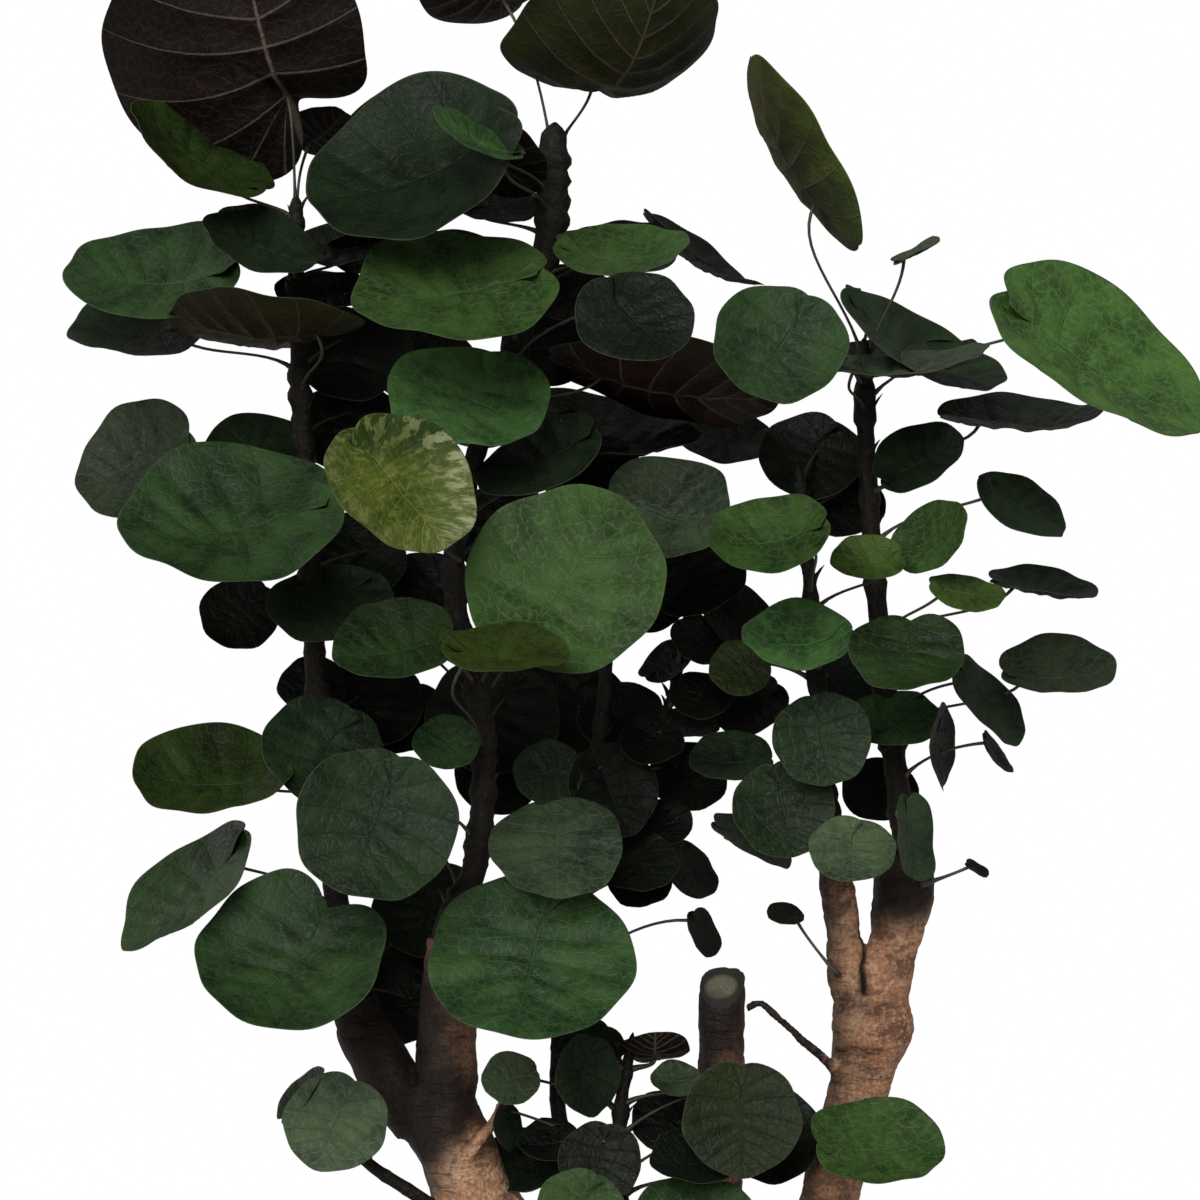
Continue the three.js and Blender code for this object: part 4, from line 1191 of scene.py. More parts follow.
@dataclass
class Trunk:
    """The wood: limbs, fork, cut stump, bare twig and root base, grown together.

    Lengths are in mm; swellings are shares of the radius.
    """

    materials: Materials
    sides: int = 28
    spacing: float = 3.0
    voxel: float = 1.9
    smoothing: int = 3
    knob: float = 0.06
    rib: float = 0.02
    base_x: float = 9.0
    base_low: float = 62.0
    base_top: float = 26.0
    base_height: float = 168.0
    base_ridges: int = 5
    base_ridge: float = 0.16
    soil_top: float = 116.0
    plug_radius: float = 39.7
    plug_foot: float = 64.3
    spur_length: float = 22.0
    spur_share: float = 1.12
    cut_slope: float = 0.9
    cut_drop: float = 9.0
    cut_depth: float = 45.0
    cut_reach: float = 1.4
    cut_margin: float = 0.6
    # Painted shade: the left side of each limb is painted darker, blended between limbs over shade_blend mm.
    side_shade: float = 0.2
    shade_blend: float = 2.5
    relief: float = 0.75
    crease_width: float = 1.5
    crease_depth: float = 1.9
    crease_shade: float = 0.7

    def limb(self, parts: MeshParts, rows: Rows) -> None:
        """Adds one limb, knobbed and ringed.

        Args:
            parts: Where it is collected.
            rows: Its points as (x pixel, y pixel, depth mm, radius mm).
        """
        path = SmoothPath(rows)
        shares = path.steps(self.spacing)
        turn, along = around(self.sides)[None], shares[:, None]
        ease = np.minimum(1, np.minimum(along, 1 - along) * 12)
        knobs = np.sin(3 * turn + 11 * along) * np.sin(17 * along + len(rows))
        reach = 1 + ease * (self.knob * knobs + self.rib * np.sin(7 * turn + 4 * along))
        parts.tube(path.at(shares), path.radius(shares)[:, None] * reach, self.sides)

    def peg(self, parts: MeshParts, start: Array, end: Array, radius: float) -> None:
        """Adds a short straight spur from one point to another."""
        parts.tube(start + (end - start) * np.linspace(0, 1, 6)[:, None], radius, 16)

    def base(self, parts: MeshParts) -> None:
        """Adds the ridged spread of the roots and the plug below it in the soil.

        Args:
            parts: Where they are collected.
        """
        sides, t = 96, np.linspace(0, 1, 26)
        turn = around(sides)
        height = self.soil_top + CLEARANCE + (self.base_height - self.soil_top - CLEARANCE) * t
        spread = self.base_low + (self.base_top - self.base_low) * np.sqrt(t)
        ridges = np.cos(self.base_ridges * turn[None] + 1)
        reach = spread[:, None] * (1 + self.base_ridge * (1 - t[:, None]) * ridges)
        x = self.base_x + reach * np.cos(turn)
        y = reach * np.sin(turn)
        z = np.broadcast_to(height[:, None], x.shape)
        parts.add(np.stack([x, y, z], -1).reshape(-1, 3), ring_faces(len(t), sides))
        line = np.array([[0.0, 0.0, z] for z in (self.plug_foot, 80.0, 100.0, self.soil_top + 6)])
        parts.tube(line, self.plug_radius, 48)

    def fused(self, parts: MeshParts) -> bpy.types.Mesh:
        """Grows the collected shapes together into one skin.

        Args:
            parts: The limbs, spurs and base.

        Returns:
            The skin as a mesh, in metres.
        """
        rough = parts.build("trunk_rough", [])
        remesh = rough.modifiers.new("grown", "REMESH")
        remesh.mode = "VOXEL"
        remesh.voxel_size = self.voxel * METRE
        remesh.use_smooth_shade = True
        ease = rough.modifiers.new("eased", "SMOOTH")
        ease.factor, ease.iterations = 0.5, self.smoothing
        mesh = applied(rough)
        bpy.data.objects.remove(rough)
        return mesh

    def painted_shade(self, points: Array) -> Array:
        """Paints shade on the bark: darker up the shaded limbs and on the left of each limb.

        Args:
            points: Points in mm.

        Returns:
            How dark each point is.
        """
        samples, shades = [], []
        for (low, high), rows in LIMBS.values():
            path = SmoothPath(rows)
            shares = path.steps(6.0)
            samples.append(np.column_stack([path.at(shares), path.radius(shares)]))
            shades.append(low + (high - low) * shares)
        sample = np.vstack(samples)
        shade = np.concatenate(shades)
        gap = np.linalg.norm(points[:, None] - sample[None, :, :3], axis=2) - sample[None, :, 3]
        weight = np.exp(-np.maximum(gap - gap.min(axis=1, keepdims=True), 0) / self.shade_blend)
        nearest = sample[gap.argmin(axis=1)]
        side = np.clip((points[:, 0] - nearest[:, 0]) / nearest[:, 3], -1, 1)
        return (weight * shade).sum(axis=1) / weight.sum(axis=1) - self.side_shade * side

    def creases(self, points: Array) -> Array:
        """Finds the creases over the front of the right limb.

        Args:
            points: Points in mm.

        Returns:
            How deep in a crease each point lies, from 0 to 1.
        """
        deep = np.zeros(len(points))
        for strength, line in CREASES:
            spots = np.array([PICTURE.place(x, y, 0.0) for x, y in line])
            steps = np.linspace(0, len(line) - 1, 40)
            x = np.interp(steps, range(len(line)), spots[:, 0])
            z = np.interp(steps, range(len(line)), spots[:, 2])
            away = np.hypot(points[:, :1] - x, points[:, 2:] - z).min(axis=1)
            deep = np.maximum(deep, strength * bell(away, self.crease_width))
        return deep * np.clip((6 - points[:, 1]) / 6, 0, 1)

    def bark_relief(self, point: Vector, normal: Vector) -> float:
        """Raises the bark: plates, fissures and ring scars.

        Args:
            point: A point in mm.
            normal: The way out there.

        Returns:
            Its height in mm.
        """
        broad = noise.fractal(point / 21, 0.9, 2.1, 3)
        bend = 5 * noise.noise(Vector((point.x, point.y, 0.3 * point.z)) / 17)
        level = point.z + bend
        girdle = noise.noise(Vector((point.x / 90, point.y / 90, level / 8)))
        crease = max(0.0, 1 - abs(noise.noise(Vector((point.x / 70, point.y / 70, level / 11 + 40)))) / 0.1)
        fine = noise.noise(Vector((point.x / 30, point.y / 30, level / 2.6)))
        seam = max(0.0, 1 - abs(noise.noise(Vector((point.x / 9, point.y / 9, point.z / 60 + 9)))) / 0.08)
        upright = 1 - abs(normal.z)
        raised = 1.1 * broad + upright * (0.85 * girdle - 0.9 * crease + 0.3 * fine - 0.35 * seam)
        return raised + 0.16 * noise.noise(point / 2.3)

    def build(self) -> None:
        """Builds the trunk and puts it in the place of its solid."""
        parts = MeshParts()
        self.base(parts)
        for _, rows in LIMBS.values():
            self.limb(parts, rows)
        for plan in SHOOTS.values():
            if plan.on_spur:
                path = SmoothPath(plan.stems[0])
                way = unit(path.points[1] - path.points[0])
                radius = path.radii[0] * self.spur_share
                self.peg(parts, path.points[0] - way * self.spur_length, path.points[0], radius)
        for name in ("limb_leaf", "fork_leaf", "trunk_leaf"):
            x, y, start, end, radius = SINGLE_LEAVES[name].stub
            self.peg(parts, PICTURE.place(x, y, start), PICTURE.place(x, y, end), radius)
        mesh = self.fused(parts)
        self.carve(mesh)
        for material in self.materials:
            mesh.materials.append(material)
        mesh.shade_smooth()
        settle(placed("trunk_wood", mesh), "bark", "trunk")

    def carve(self, mesh: bpy.types.Mesh) -> None:
        """Gives the skin its bark, the slanted cut of the stump, and its colour marks.

        Args:
            mesh: The skin, in metres.
        """
        points, normals = vectors(mesh, "co") / METRE, vectors(mesh, "normal")
        crease = self.creases(points)
        # Painted shade: the bark is marked darker up its shaded limbs, on their left sides and along the
        # creases.
        dark = self.painted_shade(points) + self.crease_shade * crease
        stump = SmoothPath(LIMBS["stump"][1])
        top = stump.points[-1]
        plane = unit(np.array([-0.2, -self.cut_slope, 1.0]))
        near = np.hypot(points[:, 0] - top[0], points[:, 1] - top[1]) < self.cut_reach * stump.radii[-1]
        near &= points[:, 2] > top[2] - self.cut_depth
        over = (points - (top - np.array([0.0, 0.0, self.cut_drop]))) @ plane
        cut = near & (over > -self.cut_margin)
        heights = np.array([self.bark_relief(Vector(p), Vector(n)) for p, n in zip(points, normals)])
        heights -= self.crease_depth * crease
        heights[cut] = 0
        above_soil = np.clip((points[:, 2] - self.soil_top) / 4, 0, 1)
        points = points + normals * (heights * self.relief * above_soil)[:, None]
        points[cut] -= np.outer(np.maximum(over[cut], 0), plane) / (plane @ plane)
        marks = np.stack([dark, cut.astype(float), heights / 2 + 0.5, np.zeros(len(points))], -1)
        mesh.vertices.foreach_set("co", (points * METRE).ravel())
        stamp(mesh, "marks", marks)
        sawn = [all(cut[i] for i in polygon.vertices) for polygon in mesh.polygons]
        mesh.polygons.foreach_set("material_index", np.array(sawn, np.int32))
        mesh.update()


# Pot, soil and moss


@dataclass
class Pot:
    """The round stoneware bowl: the solid's profile, softened, with a bare foot."""

    materials: Materials
    height: float = 132.0
    rim: float = 168.0
    foot: float = 124.0
    wall: float = 9.0
    floor: float = 12.0
    belly: float = 154.0
    belly_height: float = 72.6
    lip_height: float = 16.0
    lip_reach: float = 6.0
    drain_radius: float = 7.0
    drain_reach: float = 72.0
    drains: int = 3
    sides: int = 144
    throwing: float = 0.22
    wobble: float = 0.0012

    def profile(self) -> list[tuple[float, float, int]]:
        """Draws the outline from the base's middle to the floor's.

        Returns:
            (radius, height, material's place) of each point.
        """
        rise = ((-12, 2.4), (-9, 1.8), (-8, 0.0), (-4, 0.0), (-1.0, 0.0), (0.4, 0.5), (2.4, 2.6), (3.6, 4.6))
        foot = [(0.0, 2.4, 1), (60.0, 2.4, 1), *((self.foot + out, height, 1) for out, height in rise)]
        lip_foot, widest = self.height - self.lip_height, self.rim - self.lip_reach
        outer = [(self.foot + 3.9, 5.8, 0)]
        for height in 7.0 + (lip_foot - 9.0) * np.linspace(0, 1, 34):
            curve = math.sin(min(1.0, height / self.belly_height) * math.pi / 2) ** 0.8
            bulge = (self.belly - self.foot - 5) * curve
            flare = (widest - self.belly) * max(0.0, (height - self.belly_height) / 43.4)
            ridge = self.throwing * math.sin(height * 1.15)
            outer.append((min(self.foot + 4.4 + bulge + flare, widest) + ridge, height, 0))
        lip = []
        middle, half, thick = self.height - self.lip_height / 2, self.lip_height / 2 - 0.4, 8.6
        for angle in np.linspace(-math.pi / 2, math.pi / 2, 15):
            out = math.copysign(abs(math.cos(angle)) ** 0.55, math.cos(angle))
            up = math.copysign(abs(math.sin(angle)) ** 0.75, math.sin(angle))
            lip.append((self.rim - thick + thick * out - 0.1, middle + half * up, 0))
        mouth = self.rim - self.wall
        inside = [
            (mouth - 2.4, self.height - 0.9, 0), (mouth - 3.8, self.height - 3.4, 0), (mouth - 5.4, 118.0, 0),
            (mouth - 8.5, 100.0, 1), (self.belly - self.wall - 2, self.belly_height, 1),
            (self.foot - self.wall + 6, self.floor + 4, 1), (self.foot - self.wall, self.floor, 1),
            (0.0, self.floor, 1),
        ]
        return foot + outer + lip + inside

    def build(self) -> None:
        """Turns the bowl, bores its drains and puts it in the place of its solid."""
        outline = self.profile()
        turn = around(self.sides)
        points, faces, slots, starts = [], [], [], []
        for radius, height, _ in outline:
            starts.append(len(points))
            ring = turn[:1] if radius == 0 else turn
            wobble = 1 + self.wobble * np.sin(2 * ring + height * 0.02)
            reach = [(a, radius * w) for a, w in zip(ring, wobble)]
            points += [(out * math.cos(a), out * math.sin(a), height) for a, out in reach]
        for (inner, _, slot), (outer, _, _), a, b in zip(outline, outline[1:], starts, starts[1:]):
            for k in range(self.sides):
                n = (k + 1) % self.sides
                if inner == 0:
                    faces.append((a, b + n, b + k))
                elif outer == 0:
                    faces.append((a + k, a + n, b))
                else:
                    faces.append((a + k, a + n, b + n, b + k))
                slots.append(slot)
        parts = MeshParts()
        parts.add(np.array(points), faces, slots)
        piece = parts.build("pot_bowl", self.materials)
        self.bore(piece)
        settle(piece, "glaze", "pot")

    def bore(self, piece: bpy.types.Object) -> None:
        """Cuts the drain holes through the floor.

        Args:
            piece: The pot.
        """
        cutters = MeshParts()
        for angle in around(self.drains):
            middle = np.array([self.drain_reach * math.cos(angle), self.drain_reach * math.sin(angle), 0.0])
            line = np.array([middle + [0, 0, z] for z in (-3.0, 5.0, 10.0, self.floor + 3)])
            cutters.tube(line, self.drain_radius, 28, 1)
        tool = cutters.build("drain_cutters", self.materials)
        cut = piece.modifiers.new("drains", "BOOLEAN")
        cut.operation = "DIFFERENCE"
        cut.solver = "EXACT"
        cut.object = tool
        mesh = applied(piece)
        piece.modifiers.clear()
        piece.data = mesh
        bpy.data.objects.remove(tool)


@dataclass
class Soil:
    """The potting mix: a crumbly bed with grit, bark chips and crumbs lying on it."""

    materials: Materials
    top: float = 116.0
    edge: float = 109.0
    flat_radius: float = 104.0
    wall_radius: float = 152.8
    hole_radius: float = 40.0
    hole_foot: float = 64.0
    crumbs: int = 2600
    sides: int = 150

    def height(self, x: float, y: float) -> float:
        """Finds the height of the bed.

        Args:
            x: Place to the right, in mm.
            y: Place away from the viewer, in mm.

        Returns:
            The height in mm.
        """
        radius = math.hypot(x, y)
        fall = max(0.0, radius - self.flat_radius) / (self.wall_radius - self.flat_radius)
        level = self.top + (self.edge - self.top) * fall**1.3
        rough = noise.fractal(Vector((x, y, 0.0)) / 22, 0.8, 2.2, 4)
        fine = noise.noise(Vector((x, y, 5.0)) / 3.4)
        ease = min(1.0, max(0.0, (self.wall_radius - radius) / 6))
        return level + (1.7 * rough + 0.6 * fine) * ease - 0.9

    def bed(self, parts: MeshParts) -> None:
        """Adds the bed: a lumpy top, the wall side and the plain underside, round the trunk's plug.

        Args:
            parts: Where it is collected.
        """
        radii = np.linspace(self.hole_radius, self.wall_radius, 46)
        turn = around(self.sides)
        rings = [[(self.hole_radius, height)] * self.sides for height in (self.hole_foot, self.top - 8)]
        for radius in radii:
            rings.append([(radius, self.height(radius * math.cos(a), radius * math.sin(a))) for a in turn])
        for radius, height in ((152.0, 104.0), (142.6, 72.6), (120.5, 16.4), (114.5, 12.4), (40.0, 12.4)):
            rings.append([(radius, height)] * self.sides)
        points = [
            (radius * math.cos(a), radius * math.sin(a), height)
            for ring in rings
            for a, (radius, height) in zip(turn, ring)
        ]
        *quads, first, last = ring_faces(len(rings), self.sides)
        faces = [*((b, a, d, c) for a, b, c, d in quads), last[::-1], first[::-1]]
        tints = np.array([self.mix(0.25 + 0.2 * noise.noise(Vector(p) / 30)) for p in points])
        parts.add(np.array(points, float), faces, 0, tints)

    def mix(self, pale: float) -> Colour:
        """Returns the earth's colour, from wet dark at 0 to dry brown at 1."""
        dark, light = np.array([0.012, 0.0075, 0.0048]), np.array([0.085, 0.055, 0.034])
        return tuple(dark + (light - dark) * min(1.0, max(0.0, pale)))

    @staticmethod
    def crumb() -> tuple[Array, list[tuple[int, ...]]]:
        """Makes a crumb of twenty faces.

        Returns:
            Its twelve corners, at radius 1, and its faces.
        """
        golden = (1 + 5**0.5) / 2
        corners = []
        for a, b in ((1, golden), (1, -golden), (-1, golden), (-1, -golden)):
            corners += [(0, a, b), (a, b, 0), (b, 0, a)]
        corners = unit(np.array(corners, float))
        faces = []
        for i, j, k in combinations(range(12), 3):
            a, b, c = corners[[i, j, k]]
            if max(np.linalg.norm(a - b), np.linalg.norm(b - c), np.linalg.norm(a - c)) < 1.1:
                faces.append((i, j, k) if np.dot(np.cross(b - a, c - a), a) > 0 else (i, k, j))
        return corners, faces

    def scatter(self, parts: MeshParts) -> None:
        """Adds crumbs, pale grit and bark chips, sunk a little in the bed.

        Args:
            parts: Where they are collected.
        """
        draws = Draws(SEED + 7)
        corners, faces = self.crumb()
        for _ in range(self.crumbs):
            radius = math.sqrt(draws.between(48**2, (self.wall_radius - 3) ** 2))
            angle = draws.between(0, TAU)
            x, y = radius * math.cos(angle), radius * math.sin(angle)
            kind = draws()
            size = draws.between(0.7, 2.1)
            if kind < 0.1:
                stretch, tint = (1.0, 0.85, 0.8), np.array([0.33, 0.29, 0.22]) * draws.between(0.7, 1.1)
            elif kind < 0.3:
                stretch, tint = (2.0, 1.2, 0.5), np.array([0.085, 0.042, 0.020]) * draws.between(0.6, 1.3)
                size *= 1.3
            else:
                stretch, tint = (1.0, 0.8, 0.7), np.array(self.mix(draws.between(0.1, 0.75)))
            turn = draws.between(0, TAU)
            shape = corners * stretch * size * np.array([draws.between(0.8, 1.2) for _ in range(3)])
            cos, sin = math.cos(turn), math.sin(turn)
            spun = np.array([[cos, -sin, 0], [sin, cos, 0], [0, 0, 1]])
            height = self.height(x, y) + size * stretch[2] * 0.35
            parts.add(shape @ spun.T + [x, y, height], faces, 0, tint)

    def build(self) -> None:
        """Builds the soil and puts it in the place of its solid."""
        parts = MeshParts()
        self.bed(parts)
        self.scatter(parts)
        settle(parts.build("soil_bed", self.materials, smooth=False), "earth", "soil")


@dataclass
class Moss:
    """Cushions of moss on the soil near the roots and the rim."""

    materials: Materials
    soil: Soil
    patches: tuple = (
        (74, 40, 20), (58, 66, 14), (-66, 34, 23), (-88, 12, 13), (-52, -64, 19), (30, -78, 16),
        (84, -42, 21), (104, -16, 12), (-110, -50, 17), (8, 96, 18), (118, 44, 14),
    )
    shoots_each: int = 420

    def build(self) -> None:
        """Builds the cushions, each a low mound bristling with tiny leaf shoots."""
        parts = MeshParts()
        draws = Draws(SEED + 13)
        for x, y, size in self.patches:
            self.mound(parts, x, y, size)
            for _ in range(round(self.shoots_each * (size / 18) ** 2)):
                self.tuft(parts, x, y, size, draws)
        settle(parts.build("moss_cushions", self.materials, smooth=False), "earth")

    def rise(self, x: float, y: float, size: float, share: float, angle: float) -> tuple[float, float, float]:
        """Finds a point on a cushion.

        Args:
            x: The cushion's place to the right, in mm.
            y: Its place away from the viewer, in mm.
            size: Its radius in mm.
            share: Share of the radius.
            angle: Angle round its middle.

        Returns:
            The point.
        """
        reach = size * share * (1 + 0.22 * noise.noise(Vector((math.cos(angle), math.sin(angle), x + y))))
        px, py = x + reach * math.cos(angle), y + reach * math.sin(angle)
        swell = 0.22 * size * (1 - share**2) ** 0.7 + 0.7 * noise.noise(Vector((px, py, 2.0)) / 4)
        return px, py, self.soil.height(px, py) + swell - 0.6 * share**4

    def mound(self, parts: MeshParts, x: float, y: float, size: float) -> None:
        """Adds the low mound of one cushion, closed below.

        Args:
            parts: Where it is collected.
            x: The cushion's place to the right, in mm.
            y: Its place away from the viewer, in mm.
            size: Its radius in mm.
        """
        sides, rings = 28, 7
        points = [
            self.rise(x, y, size, (i + 1) / rings, angle) for i in range(rings) for angle in around(sides)
        ]
        points.append(self.rise(x, y, size, 0.0, 0.0))
        points.append((x, y, self.soil.height(x, y) - 4))
        crown, root = len(points) - 2, len(points) - 1
        faces = []
        for k in range(sides):
            n = (k + 1) % sides
            faces.append((k, n, crown))
            last = (rings - 1) * sides
            faces.append((last + n, last + k, root))
            for i in range(rings - 1):
                faces.append(((i + 1) * sides + k, (i + 1) * sides + n, i * sides + n, i * sides + k))
        parts.add(np.array(points), faces, 0, (0.020, 0.040, 0.008))

    def tuft(self, parts: MeshParts, x: float, y: float, size: float, draws: Draws) -> None:
        """Adds one tiny leaf shoot, a slim three-sided spike.

        Args:
            parts: Where it is collected.
            x: The cushion's place to the right, in mm.
            y: Its place away from the viewer, in mm.
            size: Its radius in mm.
            draws: Random numbers for its place and size.
        """
        share = math.sqrt(draws())
        foot = np.array(self.rise(x, y, size, share * 0.97, draws.between(0, TAU)))
        lean = np.array([draws.between(-0.7, 0.7), draws.between(-0.7, 0.7), 1.0])
        length = draws.between(1.1, 2.6)
        width = draws.between(0.28, 0.5)
        turn = draws.between(0, TAU)
        ring = [
            foot + np.array([width * math.cos(turn + a), width * math.sin(turn + a), -0.3]) for a in around(3)
        ]
        points = np.array([*ring, foot + unit(lean) * length])
        pale = draws()
        tint = np.array([0.030, 0.062, 0.010]) * (1 - pale) + np.array([0.095, 0.15, 0.022]) * pale
        parts.add(points, [(0, 1, 3), (1, 2, 3), (2, 0, 3), (0, 2, 1)], 0, tint)


# Shaders

Painted = tuple[object, object, object]


class Wiring:
    """Short calls for placing and joining the nodes of one shader tree."""

    def __init__(self, tree: bpy.types.NodeTree) -> None:
        """Works on one tree."""
        self.tree = tree

    def feed(self, socket: bpy.types.NodeSocket, value: object) -> None:
        """Links a socket to another, or sets it.

        Args:
            socket: The socket that is fed.
            value: A socket, a number or a colour; None leaves it as it is.
        """
        if isinstance(value, bpy.types.NodeSocket):
            self.tree.links.new(value, socket)
        elif value is not None:
            if socket.type == "RGBA" and len(value) == 3:
                value = (*value, 1.0)
            socket.default_value = value

    def node(self, kind: str, inputs: dict | None = None, **settings: object) -> bpy.types.Node:
        """Places one node.

        Args:
            kind: The node's type, without the word that all shader nodes share.
            inputs: Values or sockets, by input name or place.
            settings: The node's own options.

        Returns:
            The node.
        """
        made = self.tree.nodes.new(f"ShaderNode{kind}")
        for name, value in settings.items():
            setattr(made, name, value)
        for name, value in (inputs or {}).items():
            self.feed(made.inputs[name], value)
        return made

    def math(
        self, operation: str, a: object, b: object = None, c: object = None, clamp: bool = False
    ) -> object:
        """Returns the result of one sum."""
        made = self.node("Math", {0: a, 1: b, 2: c}, operation=operation, use_clamp=clamp)
        return made.outputs[0]

    def times(self, a: object, b: object) -> object:
        """Returns a product."""
        return self.math("MULTIPLY", a, b)

    def line(self, value: object, slope: object, base: object) -> object:
        """Returns a value times a slope, plus a base."""
        return self.math("MULTIPLY_ADD", value, slope, base)

    def fade(self, value: object, start: float, end: float, low: float = 0.0, high: float = 1.0) -> object:
        """Returns a value eased from low at start to high at end."""
        inputs = {"Value": value, "From Min": start, "From Max": end, "To Min": low, "To Max": high}
        return self.node("MapRange", inputs, interpolation_type="SMOOTHSTEP").outputs["Result"]

    def blend(self, share: object, a: object, b: object, how: str = "MIX") -> object:
        """Mixes two colours.

        Args:
            share: How much of the second shows, from 0 to 1.
            a: The first.
            b: The second.
            how: The way of mixing.

        Returns:
            The mixed colour.
        """
        made = self.node("Mix", {}, data_type="RGBA", blend_type=how, clamp_factor=True)
        self.feed(made.inputs[0], share)
        self.feed(made.inputs[6], a)
        self.feed(made.inputs[7], b)
        return made.outputs[2]

    def tinted(self, colour: object, gain: Colour) -> object:
        """Returns a colour with each of its parts multiplied."""
        return self.blend(1.0, colour, gain, "MULTIPLY")

    def toward(self, place: object, way: tuple) -> object:
        """Returns how far a place lies in a direction."""
        return self.node("VectorMath", {0: place, 1: way}, operation="DOT_PRODUCT").outputs["Value"]

    def moved(self, place: object, way: object, how: str = "ADD") -> object:
        """Returns a place moved by a vector."""
        return self.node("VectorMath", {0: place, 1: way}, operation=how).outputs[0]

    def scaled(self, place: object, gain: object) -> object:
        """Returns a place at so many times its distance."""
        return self.node("VectorMath", {0: place, "Scale": gain}, operation="SCALE").outputs[0]

    def stretched(self, place: object, level: float, upright: float) -> object:
        """Returns a place with its level and its upright parts scaled."""
        return self.node("Mapping", {"Vector": place, "Scale": (level, level, upright)}).outputs[0]

    def mark(self, name: str) -> tuple[object, object, object, object]:
        """Reads the four numbers that a mesh carries for its shader.

        Args:
            name: The attribute's name.

        Returns:
            The four numbers.
        """
        source = self.node("Attribute", attribute_name=name)
        parts = self.node("SeparateColor", {"Color": source.outputs["Color"]})
        return parts.outputs[0], parts.outputs[1], parts.outputs[2], source.outputs["Alpha"]

    def speckle(self, where: object, scale: float, detail: float = 3.0, rough: float = 0.55) -> object:
        """Returns soft noise from 0 to 1 at a place."""
        inputs = {"Vector": where, "Scale": scale, "Detail": detail, "Roughness": rough}
        return self.node("TexNoise", inputs).outputs["Fac"]


class SharedGroup:
    """A shader effect that several finishes use, built once."""

    made: dict[str, bpy.types.NodeTree] = {}
    name = ""
    inputs: tuple = ()
    outputs: tuple = ()

    @classmethod
    def tree(cls) -> bpy.types.NodeTree:
        """Finds the group's tree, building it on first use.

        Returns:
            The tree.
        """
        if cls.name not in SharedGroup.made:
            tree = bpy.data.node_groups.new(cls.name, "ShaderNodeTree")
            for way, sockets in (("INPUT", cls.inputs), ("OUTPUT", cls.outputs)):
                for kind, name in sockets:
                    tree.interface.new_socket(name=name, in_out=way, socket_type=f"NodeSocket{kind}")
            wiring = Wiring(tree)
            start = tree.nodes.new("NodeGroupInput")
            end = tree.nodes.new("NodeGroupOutput")
            results = cls.wire(wiring, {name: start.outputs[name] for _, name in cls.inputs})
            for name, value in results.items():
                tree.links.new(value, end.inputs[name])
            SharedGroup.made[cls.name] = tree
        return SharedGroup.made[cls.name]

    @classmethod
    def wire(cls, wiring: Wiring, given: dict[str, object]) -> dict[str, object]:
        """Builds the group's inside; each effect has its own.

        Args:
            wiring: The group's wiring.
            given: The group's inputs, by name.

        Returns:
            What feeds its outputs, by name.
        """
        raise NotImplementedError

    @classmethod
    def place(cls, wiring: Wiring, **given: object) -> bpy.types.Node:
        """Places the group in a material.

        Args:
            wiring: The material's wiring.
            given: What feeds its inputs, by name in small letters.

        Returns:
            The group's node.
        """
        made = wiring.tree.nodes.new("ShaderNodeGroup")
        made.node_tree = cls.tree()
        for name, value in given.items():
            wiring.feed(made.inputs[name.replace("_", " ").title()], value)
        return made


